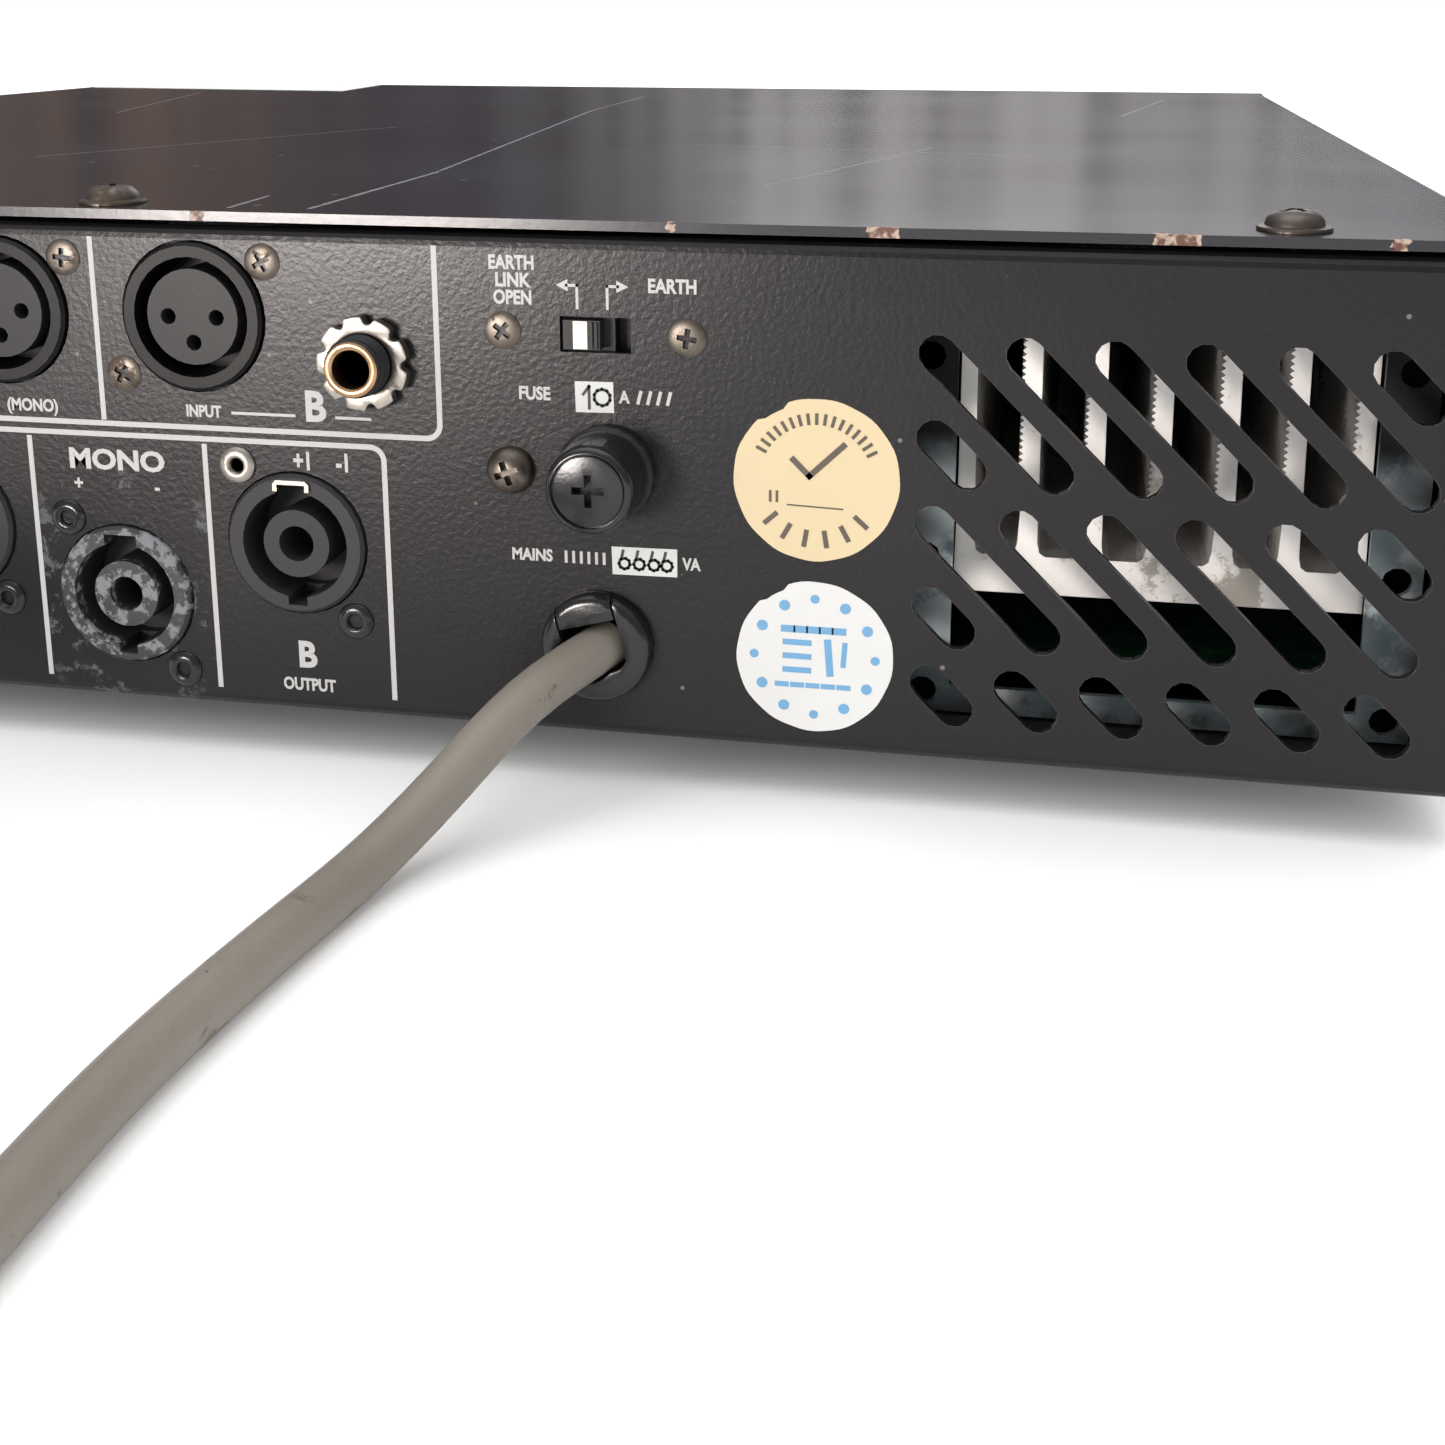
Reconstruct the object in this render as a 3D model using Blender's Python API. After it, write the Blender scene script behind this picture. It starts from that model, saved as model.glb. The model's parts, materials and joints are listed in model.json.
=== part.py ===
"""A two-channel rack-height power amplifier, seen as the bench would take it apart.

Metres, +Z up. The amplifier stands on its feet at z = 0, its front looks along -Y and
its rear panel along +Y. The origin is below the middle of the box that it fills.
"""

import math

import bmesh
import bpy
import numpy as np
from mathutils import Matrix, Vector

MM = 0.001
GAP = 0.3 * MM                  # air between two pieces that touch

# Casing
BODY_WIDTH = 420.0 * MM
BODY_DEPTH = 404.0 * MM         # front face of the front panel to the rear panel's face
FOOT_HEIGHT = 8.0 * MM          # floor to the lowest edge of the rear panel
PANEL_HEIGHT = 78.0 * MM        # height of the rear panel
SHEET = 1.5 * MM                # steel sheet of base, sides, rear panel and cover
BEND = 2.0 * MM                 # outer radius of a bend in the sheet
COVER_SEAM = 0.8 * MM           # dark line between the rear panel and the cover
COVER_LIP = 12.0 * MM           # height of the cover's side lips
TOP_FLANGE = 16.0 * MM          # the rear panel's folded top
BOTTOM_FLANGE = 12.0 * MM       # the rear panel's folded bottom
FRONT_THICKNESS = 4.0 * MM

# What stands out of the casing in front and behind
KNOB_LENGTH = 15.0 * MM
KNOB_STANDOFF = 1.0 * MM
FUSE_CAP_OUT = 11.5 * MM

FRONT_Y = -(BODY_DEPTH + KNOB_LENGTH + KNOB_STANDOFF + FUSE_CAP_OUT) / 2 + KNOB_LENGTH + KNOB_STANDOFF
REAR_Y = FRONT_Y + BODY_DEPTH
PANEL_BACK = REAR_Y - SHEET     # inner face of the rear panel
FRONT_BACK = FRONT_Y + FRONT_THICKNESS
PANEL_TOP = FOOT_HEIGHT + PANEL_HEIGHT
COVER_UNDER = PANEL_TOP + COVER_SEAM
COVER_TOP = COVER_UNDER + SHEET
SIDE_X = BODY_WIDTH / 2 - SHEET - GAP       # outer face of a side plate
BASE_UNDER = FOOT_HEIGHT + SHEET + GAP      # underside of the base plate
BASE_TOP = BASE_UNDER + SHEET
SIDE_BOTTOM = BASE_TOP + GAP
SIDE_TOP = PANEL_TOP - SHEET - GAP

# Feet
FOOT_RADIUS = 10.0 * MM
FOOT_TAPER = 1.5 * MM
FOOT_INSET = 42.0 * MM

# Vents: slots at 45 degrees, cut in three rows that end at the same two uprights
SLOT_WIDTH = 5.5 * MM
SLOT_PITCH = 12.42 * MM
SLOT_COUNT = 6
VENT_INNER_X = 131.0 * MM       # slot ends nearest the middle of the panel
VENT_SPAN = 67.0 * MM
VENT_ROWS = ((62.5 * MM, 17.3 * MM), (37.2 * MM, 16.5 * MM), (12.6 * MM, 4.1 * MM))
SLOT_SHORTEST = 3.0 * MM

# Rear connectors: x from the middle, z above the rear panel's lower edge
XLR_X, XLR_Z = 16.5 * MM, 64.0 * MM
XLR_RADIUS = 11.6 * MM
XLR_GROOVE_OUTER, XLR_CORE_RADIUS = 9.4 * MM, 7.5 * MM
XLR_CONTACT_CIRCLE, XLR_CONTACT_RADIUS = 4.0 * MM, 1.3 * MM
JACK_X, JACK_Z = 44.6 * MM, 58.0 * MM
JACK_BORE_RADIUS, JACK_BARREL_RADIUS = 3.25 * MM, 4.5 * MM
JACK_OUT = 6.5 * MM
JACK_BARREL_DEPTH, JACK_BORE_DEPTH = 5.0 * MM, 22.0 * MM
JACK_BODY = (16.0 * MM, 24.0 * MM)          # width across and length
JACK_NUT_RADIUS, JACK_NUT_THICKNESS = 7.3 * MM, 2.0 * MM
SPEAKER_PLACES = (("speaker_socket_a", 29.0 * MM, 28.4 * MM),
                  ("bridge_socket", -1.5 * MM, 18.2 * MM),
                  ("speaker_socket_b", -31.5 * MM, 28.4 * MM))
SPEAKER_RADIUS = 11.4 * MM
SPEAKER_GROOVE_OUTER, SPEAKER_CORE_RADIUS = 8.7 * MM, 5.5 * MM
SPEAKER_CORE_BORE = 2.9 * MM
SPEAKER_KEYWAYS, SPEAKER_KEYWAY_DEPTH = (5.6 * MM, 3.2 * MM), 6.0 * MM    # widths at the top and the bottom
HOLE_CLEARANCE = 0.35 * MM
CONNECTOR_LIP = 1.0 * MM        # how far a connector's rim stands out of the panel
CONNECTOR_DEPTH = 22.0 * MM
XLR_FLANGE = (29.0 * MM, 24.0 * MM)         # width and height of the flange behind the panel
SPEAKER_FLANGE = (26.0 * MM, 28.0 * MM)
FLANGE_THICKNESS = 2.0 * MM
GROOVE_DEPTH, CORE_SETBACK = 9.0 * MM, 0.6 * MM

# Ground lift slide switch
SWITCH_X, SWITCH_Z = -80.6 * MM, 63.4 * MM
SWITCH_OPENING = (10.9 * MM, 5.4 * MM)
SWITCH_TRAVEL = 4.0 * MM
SWITCH_KNOB = (5.6 * MM, 4.4 * MM)
SWITCH_KNOB_OUT = 0.6 * MM
SWITCH_BODY = (22.0 * MM, 9.0 * MM, 8.0 * MM)
SWITCH_POCKET_DEPTH = 3.2 * MM
SWITCH_POCKET = (15.0 * MM, 6.6 * MM)
SWITCH_SHOE = (9.0 * MM, 5.8 * MM, 2.4 * MM)

# Fuse holder with its bayonet cap and cartridge
FUSE_X, FUSE_Z = -82.1 * MM, 42.5 * MM
FUSE_FLANGE_RADIUS, FUSE_FLANGE_OUT = 7.5 * MM, 2.2 * MM
FUSE_TUBE_RADIUS, FUSE_BORE_RADIUS = 6.2 * MM, 5.2 * MM
FUSE_TUBE_DEPTH = 34.0 * MM
FUSE_CAP_RADIUS = 6.7 * MM
FUSE_PLUG_RADIUS, FUSE_PLUG_LENGTH = 4.8 * MM, 6.0 * MM
FUSE_RADIUS, FUSE_LENGTH = 2.6 * MM, 20.0 * MM
FUSE_FERRULE_RADIUS, FUSE_FERRULE_LENGTH = 2.8 * MM, 5.0 * MM
CROSS_SLOT, CROSS_DEPTH = (2.4 * MM, 0.55 * MM), 2.0 * MM    # half length and half width of an arm

# Earth screw beside the fuse
EARTH_X, EARTH_Z = -67.0 * MM, 42.2 * MM
EARTH_HEAD_RADIUS, EARTH_HEAD_HEIGHT = 3.7 * MM, 2.6 * MM

# Strain relief bushing in two halves, and the mains lead
CORD_DIAMETER = 7.4 * MM
RELIEF_X, RELIEF_Z = -80.3 * MM, 15.1 * MM
RELIEF_RADIUS, RELIEF_NECK_RADIUS = 8.7 * MM, 7.4 * MM
RELIEF_OUT, RELIEF_ROUNDING = 3.0 * MM, 1.5 * MM
RELIEF_NECK_LENGTH = 9.0 * MM
RELIEF_ROLL = math.radians(15)  # how far the bushing has turned in its hole
RELIEF_WEDGE_HALF, RELIEF_WEDGE_LOW = 4.4 * MM, 4.1 * MM
RELIEF_MOUTH_LOW, RELIEF_MOUTH_CORNER = -4.1 * MM, 2.5 * MM
CORD_ROUTE = (                  # x, distance behind the panel, height above the floor, in mm
    (-81.8, -1.6, 23.1), (-80.2, 1.0, 22.4), (-72.7, 13.0, 18.4), (-65.3, 26.0, 11.0), (-58.9, 40.0, 4.9),
    (-55.6, 55.0, 3.75), (-52.6, 75.0, 3.75), (-50.5, 97.0, 3.75), (-50.2, 118.0, 3.75),
    (-49.8, 140.0, 3.75), (-49.3, 157.0, 3.75),
)
CORD_STEP = 2.3                 # distance between tube points, in cord diameters
COIL_X, COIL_OUT = 7.0 * MM, 164.0 * MM
COIL_MIDDLE_RADIUS = 41.0 * MM
COIL_COLUMNS, COIL_LAYERS = 3, 3
COIL_LAYER_RISE = 6.9 * MM
PLUG_RADIUS, PLUG_LENGTH = 18.6 * MM, 38.0 * MM
PLUG_NECK_RADIUS, PLUG_NECK_LENGTH = 6.4 * MM, 26.0 * MM
PLUG_PIN_RADIUS, PLUG_PIN_LENGTH, PLUG_PIN_SPACING = 2.4 * MM, 19.0 * MM, 19.0 * MM

# Cover screws along the rear edge
COVER_SCREW_X = 179.5 * MM
COVER_SCREW_INSET = 8.0 * MM
COVER_SCREW_RADIUS = 5.2 * MM
COVER_SCREW_DOME = 2.0 * MM
COVER_SCREW_SHANK = 1.9 * MM
SCREW_CLEARANCE = 0.4 * MM

# Heat sinks behind the vents, with their ducts and fans
SINK_X = 163.7 * MM
SINK_WIDTH = 60.6 * MM
SINK_SETBACK = 14.0 * MM        # rear panel's face to the end of the extrusion
SINK_LENGTH = 220.0 * MM
SINK_BASE_Z, SINK_BASE_THICKNESS = 22.8 * MM, 5.9 * MM
SINK_TOP_Z = 69.0 * MM
FIN_COUNT, FIN_THICKNESS = 7, 3.0 * MM
FIN_ROOT_RISE, FIN_ROOT_SIDE = 6.0 * MM, 0.9 * MM
DUCT_WIDTH, DUCT_HEIGHT = 76.0 * MM, 68.0 * MM
DUCT_SHEET = 1.2 * MM
DUCT_SETBACK = 11.5 * MM
DUCT_OPENING_TOP, DUCT_OPENING_BOTTOM = 64.0 * MM, 7.8 * MM
DUCT_HOLE_RADIUS, DUCT_HOLE_HEIGHTS = 2.2 * MM, (6.9 * MM, 28.8 * MM, 60.0 * MM)
DUCT_HOLE_OFFSET = 34.4 * MM
FAN_SIZE, FAN_DEPTH = 60.0 * MM, 20.0 * MM
FAN_BORE = 28.5 * MM
FAN_HUB_RADIUS, FAN_BLADE_TIP = 12.0 * MM, 27.0 * MM
FAN_BLADES = 7
FAN_BLADE_THICKNESS, FAN_BLADE_CHORD = 1.4 * MM, 13.0 * MM
FAN_BLADE_PITCH = math.radians(40)
FAN_SPOKE, FAN_SPOKE_DEPTH = 3.0 * MM, 2.5 * MM
FAN_CLEARANCE = 0.6 * MM
FAN_GAP = 6.0 * MM              # fan to the heat sink
TRANSISTOR = (16.0 * MM, 20.0 * MM, 5.0 * MM)
TRANSISTOR_OUT = (45.0 * MM, 130.0 * MM)    # distance behind the extrusion's rear end
BOARD_THICKNESS = 1.6 * MM
AMP_BOARD_Z = 9.0 * MM          # above the rear panel's lower edge
AMP_BOARD_WIDTH, AMP_BOARD_LENGTH = 62.0 * MM, 200.0 * MM

# Power supply in the middle
TOROID_BACK_GAP = 38.0 * MM     # front panel's back to the winding
TOROID_RADIUS, TOROID_BORE, TOROID_HEIGHT = 62.0 * MM, 17.0 * MM, 52.0 * MM
TOROID_ROUNDING = 9.0 * MM
TOROID_BOLT_RADIUS, TOROID_BOLT_HEAD = 4.0 * MM, 5.0 * MM
TOROID_PLATE_RADIUS, TOROID_PLATE_THICKNESS = 34.0 * MM, 2.5 * MM
TOROID_Y = FRONT_BACK + TOROID_BACK_GAP + TOROID_RADIUS
SUPPLY_BOARD = (150.0 * MM, 84.0 * MM)
SUPPLY_BOARD_GAP, SUPPLY_BOARD_Z = 12.0 * MM, 10.0 * MM
SUPPLY_BOARD_Y = TOROID_Y + TOROID_RADIUS + SUPPLY_BOARD_GAP + SUPPLY_BOARD[1] / 2
CAPACITOR_RADIUS, CAPACITOR_HEIGHT, CAPACITOR_X = 20.0 * MM, 52.0 * MM, (-46.0 * MM, 46.0 * MM)
RECTIFIER = (28.0 * MM, 28.0 * MM, 11.0 * MM)
INPUT_BOARD = (110.0 * MM, 34.0 * MM)
INPUT_BOARD_SETBACK = 30.0 * MM
INPUT_BOARD_Z = 44.0 * MM

# Front controls
KNOB_X = (58.0 * MM, 112.0 * MM)
KNOB_Z = 40.0 * MM
KNOB_RADIUS, KNOB_SHAFT_RADIUS, KNOB_BORE_DEPTH = 11.0 * MM, 3.0 * MM, 10.0 * MM
KNOB_FLUTE_DEPTH = 0.7 * MM
KNOB_FLUTES = 18
POT_RADIUS, POT_DEPTH = 8.5 * MM, 9.0 * MM
POT_BUSH_RADIUS = 4.5 * MM
ROCKER_X, ROCKER_Z = -75.0 * MM, 40.0 * MM
ROCKER_SIZE = (18.0 * MM, 24.0 * MM)
ROCKER_SWING = math.radians(12)
ROCKER_PIVOT_DEPTH, ROCKER_POCKET_DEPTH = 6.0 * MM, 14.0 * MM
ROCKER_TIP, ROCKER_HOLLOW = 9.0 * MM, 1.6 * MM      # how far its ends and middle lie before the pivot
ROCKER_BODY = (22.4 * MM, 30.0 * MM, 24.0 * MM)
ROCKER_BEZEL_OUT, ROCKER_BEZEL_RIM = 1.6 * MM, 1.8 * MM
INTAKE_INNER_X = 152.0 * MM
INTAKE_ROWS = ((58.0 * MM, 16.0 * MM), (34.0 * MM, 16.0 * MM))
INTAKE_SPAN = 46.0 * MM

ROUND = 32                      # sides of a large round piece
SMALL_ROUND = 20                # sides of a small one
SLOT_END = 6                    # sides of a slot's half-round end


def clear_scene():
    for item in list(bpy.data.objects):
        bpy.data.objects.remove(item, do_unlink=True)


def material(name, colour, roughness, metallic=0.0):
    made = bpy.data.materials.new(name)
    made.use_nodes = True
    shader = made.node_tree.nodes["Principled BSDF"]
    shader.inputs["Base Color"].default_value = (*colour, 1.0)
    shader.inputs["Roughness"].default_value = roughness
    shader.inputs["Metallic"].default_value = metallic
    return made


def finish(name, mesh, finish_material, smooth_angle=None):
    """Turn a bmesh into a named object with one material."""
    bmesh.ops.recalc_face_normals(mesh, faces=mesh.faces)
    data = bpy.data.meshes.new(name)
    mesh.to_mesh(data)
    mesh.free()
    if smooth_angle is not None:
        data.shade_smooth()
        data.set_sharp_from_angle(angle=math.radians(smooth_angle))
    data.materials.append(finish_material)
    made = bpy.data.objects.new(name, data)
    bpy.context.collection.objects.link(made)
    return made


def add_box(mesh, low, high):
    """A box between two corners."""
    corners = [mesh.verts.new((x, y, z)) for x in (low[0], high[0]) for y in (low[1], high[1])
               for z in (low[2], high[2])]
    for quad in ((0, 1, 3, 2), (4, 6, 7, 5), (0, 4, 5, 1), (2, 3, 7, 6), (0, 2, 6, 4), (1, 5, 7, 3)):
        mesh.faces.new([corners[i] for i in quad])


def add_prism(mesh, outline, along, start, end):
    """Extrude a flat outline along X, Y or Z. The outline gives the other two axes in order."""
    rings = []
    for level in (start, end):
        ring = []
        for a, b in outline:
            place = {"X": (level, a, b), "Y": (a, level, b), "Z": (a, b, level)}[along]
            ring.append(mesh.verts.new(place))
        rings.append(ring)
    count = len(outline)
    mesh.faces.new(rings[0])
    mesh.faces.new(rings[1][::-1])
    for i in range(count):
        j = (i + 1) % count
        mesh.faces.new((rings[0][i], rings[1][i], rings[1][j], rings[0][j]))


def turned(mesh, profile, centre, axis, sides):
    """Turn a closed profile of (radius, height along the axis) points about an axis.

    Points on the axis share one vertex, and the profile closes on itself.
    """
    basis = Vector(axis).to_track_quat("Z", "Y").to_matrix()
    middle = Vector(centre)
    loops = []
    for radius, height in profile:
        if radius == 0:
            loops.append([mesh.verts.new(middle + basis @ Vector((0, 0, height)))])
            continue
        loop = []
        for i in range(sides):
            turn = 2 * math.pi * i / sides
            offset = Vector((radius * math.cos(turn), radius * math.sin(turn), height))
            loop.append(mesh.verts.new(middle + basis @ offset))
        loops.append(loop)
    for k, here in enumerate(loops):
        there = loops[(k + 1) % len(loops)]
        if len(here) == 1 and len(there) == 1:
            continue
        for i in range(sides):
            j = (i + 1) % sides
            corners = [here[i % len(here)], here[j % len(here)], there[j % len(there)], there[i % len(there)]]
            mesh.faces.new(list(dict.fromkeys(corners)))


def cylinder(mesh, radius, start, end, centre, axis, sides):
    turned(mesh, ((0, start), (radius, start), (radius, end), (0, end)), centre, axis, sides)


def combine(target, mesh, name, operation):
    """Change an object by a helper shape: DIFFERENCE, UNION or INTERSECT."""
    helper = finish(name, mesh, HELPER)
    helper.hide_render = True
    helper.display_type = "WIRE"
    change = target.modifiers.new(name, "BOOLEAN")
    change.operation = operation
    change.solver = "EXACT"
    change.object = helper
    return helper


def cut(target, mesh, name):
    """Take a shape out of an object."""
    return combine(target, mesh, name, "DIFFERENCE")


def join(target, mesh, name):
    """Add a shape that overlaps an object to it."""
    return combine(target, mesh, name, "UNION")


def arc(centre, radius, first, last, steps):
    """Points along an arc, angles in degrees."""
    points = []
    for i in range(steps + 1):
        turn = math.radians(first + (last - first) * i / steps)
        points.append((centre[0] + radius * math.cos(turn), centre[1] + radius * math.sin(turn)))
    return points


def slot_outline(start, end, width):
    """A slot with round ends between two centre points."""
    direction = math.degrees(math.atan2(end[1] - start[1], end[0] - start[0]))
    return (arc(start, width / 2, direction + 90, direction + 270, SLOT_END)
            + arc(end, width / 2, direction - 90, direction + 90, SLOT_END))


def hatch_slots(inner_x, span, rows, lower_edge, side):
    """Ends of the slots of one grid: a 45 degree hatch, clipped to its rows and its two uprights.

    side is +1 or -1 for the half of the panel. Every slot runs outwards as it falls.
    """
    slots = []
    for top, height in rows:
        for i in range(-SLOT_COUNT, SLOT_COUNT + 1):
            begin = i * SLOT_PITCH
            start_run = max(0.0, -begin)
            end_run = min(height, span - begin)
            if end_run - start_run < SLOT_SHORTEST:
                continue
            start = (side * (inner_x + begin + start_run), lower_edge + top - start_run)
            end = (side * (inner_x + begin + end_run), lower_edge + top - end_run)
            slots.append((start, end))
    return slots


def make_rear_panel():
    """One sheet folded at the top and the bottom, with every opening cut through it."""
    outer, inner = BEND, BEND - SHEET
    y_out, y_in = REAR_Y, PANEL_BACK
    z_low, z_high = FOOT_HEIGHT, PANEL_TOP
    outline = [(y_out - BOTTOM_FLANGE, z_low)]
    outline += arc((y_out - outer, z_low + outer), outer, -90, 0, 4)
    outline += arc((y_out - outer, z_high - outer), outer, 0, 90, 4)
    outline += [(y_out - TOP_FLANGE, z_high), (y_out - TOP_FLANGE, z_high - SHEET)]
    outline += arc((y_out - outer, z_high - outer), inner, 90, 0, 2)
    outline += arc((y_out - outer, z_low + outer), inner, 0, -90, 2)
    outline += [(y_out - BOTTOM_FLANGE, z_low + SHEET)]
    mesh = bmesh.new()
    add_prism(mesh, outline, "X", -SIDE_X, SIDE_X)
    panel = finish("rear_panel", mesh, BLACK_PAINT, 40)

    through = bmesh.new()
    near, far = PANEL_BACK - 1 * MM, REAR_Y + 1 * MM
    for side in (1, -1):
        for start, end in hatch_slots(VENT_INNER_X, VENT_SPAN, VENT_ROWS, FOOT_HEIGHT, side):
            add_prism(through, slot_outline(start, end, SLOT_WIDTH), "Y", near, far)
        cylinder(through, XLR_RADIUS + HOLE_CLEARANCE, near, far,
                 (side * XLR_X, 0, FOOT_HEIGHT + XLR_Z), (0, 1, 0), ROUND)
        cylinder(through, JACK_BARREL_RADIUS + HOLE_CLEARANCE, near, far,
                 (side * JACK_X, 0, FOOT_HEIGHT + JACK_Z), (0, 1, 0), SMALL_ROUND)
    for _, x, z in SPEAKER_PLACES:
        cylinder(through, SPEAKER_RADIUS + HOLE_CLEARANCE, near, far,
                 (x, 0, FOOT_HEIGHT + z), (0, 1, 0), ROUND)
    width, height = SWITCH_OPENING
    add_box(through, (SWITCH_X - width / 2, near, FOOT_HEIGHT + SWITCH_Z - height / 2),
            (SWITCH_X + width / 2, far, FOOT_HEIGHT + SWITCH_Z + height / 2))
    cylinder(through, FUSE_TUBE_RADIUS + HOLE_CLEARANCE, near, far,
             (FUSE_X, 0, FOOT_HEIGHT + FUSE_Z), (0, 1, 0), SMALL_ROUND)
    cylinder(through, COVER_SCREW_SHANK + SCREW_CLEARANCE, near, far,
             (EARTH_X, 0, FOOT_HEIGHT + EARTH_Z), (0, 1, 0), SMALL_ROUND)
    cylinder(through, RELIEF_NECK_RADIUS + HOLE_CLEARANCE, near, far,
             (RELIEF_X, 0, FOOT_HEIGHT + RELIEF_Z), (0, 1, 0), ROUND)
    cut(panel, through, "rear_openings")

    drilled = bmesh.new()
    for x in (-COVER_SCREW_X, 0.0, COVER_SCREW_X):
        cylinder(drilled, COVER_SCREW_SHANK + SCREW_CLEARANCE, PANEL_TOP - SHEET - 1 * MM, PANEL_TOP + 1 * MM,
                 (x, REAR_Y - COVER_SCREW_INSET, 0), (0, 0, 1), SMALL_ROUND)
    cut(panel, drilled, "flange_holes")


def make_cover():
    """Top sheet with a rounded fold and a short lip down each side."""
    half = BODY_WIDTH / 2
    left = arc((-half + BEND, COVER_TOP - BEND), BEND, 180, 90, 4)
    right = arc((half - BEND, COVER_TOP - BEND), BEND, 90, 0, 4)
    inner = BEND - SHEET
    under_right = arc((half - BEND, COVER_TOP - BEND), inner, 0, 90, 2)
    under_left = arc((-half + BEND, COVER_TOP - BEND), inner, 90, 180, 2)
    lip = COVER_TOP - COVER_LIP
    outline = [(-half, lip)] + left + right + [(half, lip), (half - SHEET, lip)]
    outline += under_right + under_left + [(-half + SHEET, lip)]
    mesh = bmesh.new()
    add_prism(mesh, outline, "Y", FRONT_BACK + GAP, REAR_Y)
    cover = finish("top_cover", mesh, GLOSS_BLACK, 40)
    drilled = bmesh.new()
    for x in (-COVER_SCREW_X, 0.0, COVER_SCREW_X):
        cylinder(drilled, COVER_SCREW_SHANK + SCREW_CLEARANCE, COVER_UNDER - 1 * MM, COVER_TOP + 1 * MM,
                 (x, REAR_Y - COVER_SCREW_INSET, 0), (0, 0, 1), SMALL_ROUND)
    cut(cover, drilled, "cover_holes")


def make_plates():
    """Flat base plate and the two side plates."""
    mesh = bmesh.new()
    add_box(mesh, (-SIDE_X, FRONT_BACK + GAP, BASE_UNDER), (SIDE_X, PANEL_BACK - GAP, BASE_TOP))
    finish("base_plate", mesh, BLACK_PAINT)
    for name, side in (("side_plate_left", 1), ("side_plate_right", -1)):
        mesh = bmesh.new()
        inner, outer = sorted((side * (SIDE_X - SHEET), side * SIDE_X))
        add_box(mesh, (inner, FRONT_BACK + GAP, SIDE_BOTTOM), (outer, PANEL_BACK - GAP, SIDE_TOP))
        finish(name, mesh, BLACK_PAINT)


def make_feet():
    """Four tapered rubber feet under the base plate."""
    height = BASE_UNDER - GAP
    profile = ((0, 0), (FOOT_RADIUS - FOOT_TAPER, 0), (FOOT_RADIUS, height), (0, height))
    corners = (("foot_rear_left", 1, 1), ("foot_rear_right", -1, 1),
               ("foot_front_left", 1, -1), ("foot_front_right", -1, -1))
    for name, side, end in corners:
        mesh = bmesh.new()
        y = REAR_Y - FOOT_INSET if end > 0 else FRONT_Y + FOOT_INSET
        turned(mesh, profile, (side * (BODY_WIDTH / 2 - FOOT_INSET), y, 0), (0, 0, 1), ROUND)
        finish(name, mesh, RUBBER, 40)


def screw_profile(head_radius, dome, rim, shank_radius, shank_length):
    """Domed head on a shank, turned about Z, with the head's underside at height 0."""
    return ((0, rim + dome), (head_radius * 0.45, rim + dome * 0.85), (head_radius * 0.8, rim + dome * 0.4),
            (head_radius, rim), (head_radius, 0), (shank_radius, 0), (shank_radius, -shank_length),
            (0, -shank_length))


def make_cover_screws():
    """Domed flange screws that hold the cover to the rear panel's fold."""
    length = COVER_TOP - PANEL_TOP + SHEET + 6 * MM
    profile = screw_profile(COVER_SCREW_RADIUS, COVER_SCREW_DOME, 0.7 * MM, COVER_SCREW_SHANK, length)
    for name, x in (("cover_screw_left", COVER_SCREW_X), ("cover_screw_middle", 0.0),
                    ("cover_screw_right", -COVER_SCREW_X)):
        mesh = bmesh.new()
        turned(mesh, profile, (x, REAR_Y - COVER_SCREW_INSET, COVER_TOP + GAP), (0, 0, 1), SMALL_ROUND)
        finish(name, mesh, STEEL, 40)


def make_earth_screw():
    """Pan-head screw beside the fuse."""
    profile = screw_profile(EARTH_HEAD_RADIUS, EARTH_HEAD_HEIGHT * 0.5, EARTH_HEAD_HEIGHT * 0.5,
                            COVER_SCREW_SHANK, 10 * MM)
    mesh = bmesh.new()
    turned(mesh, profile, (EARTH_X, REAR_Y + GAP, FOOT_HEIGHT + EARTH_Z), (0, 1, 0), SMALL_ROUND)
    finish("earth_screw", mesh, STEEL, 40)


def panel_connector(name, x, z, radius, groove_outer, core_radius, flange_size):
    """Round socket in a panel: rim, ring-shaped groove, core, and a flange behind the sheet."""
    front, edge = CONNECTOR_LIP, 0.5 * MM
    back = -(SHEET + CONNECTOR_DEPTH)
    core_face, groove_floor = front - CORE_SETBACK, front - GROOVE_DEPTH
    profile = ((0, core_face), (core_radius, core_face), (core_radius, groove_floor),
               (groove_outer, groove_floor), (groove_outer, front), (radius - edge, front),
               (radius, front - edge), (radius, back), (0, back))
    mesh = bmesh.new()
    turned(mesh, profile, (x, REAR_Y, z), (0, 1, 0), ROUND)
    socket = finish(name, mesh, BLACK_PLASTIC, 40)
    half_width, half_height = flange_size[0] / 2, flange_size[1] / 2
    seat = PANEL_BACK - GAP
    plate = bmesh.new()
    add_box(plate, (x - half_width, seat - FLANGE_THICKNESS, z - half_height),
            (x + half_width, seat, z + half_height))
    flange = join(socket, plate, name + "_flange")
    hole = bmesh.new()
    cylinder(hole, (groove_outer + radius) / 2, seat - FLANGE_THICKNESS - 1 * MM, seat + 1 * MM,
             (x, 0, z), (0, 1, 0), ROUND)
    cut(flange, hole, name + "_flange_hole")
    return socket


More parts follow.
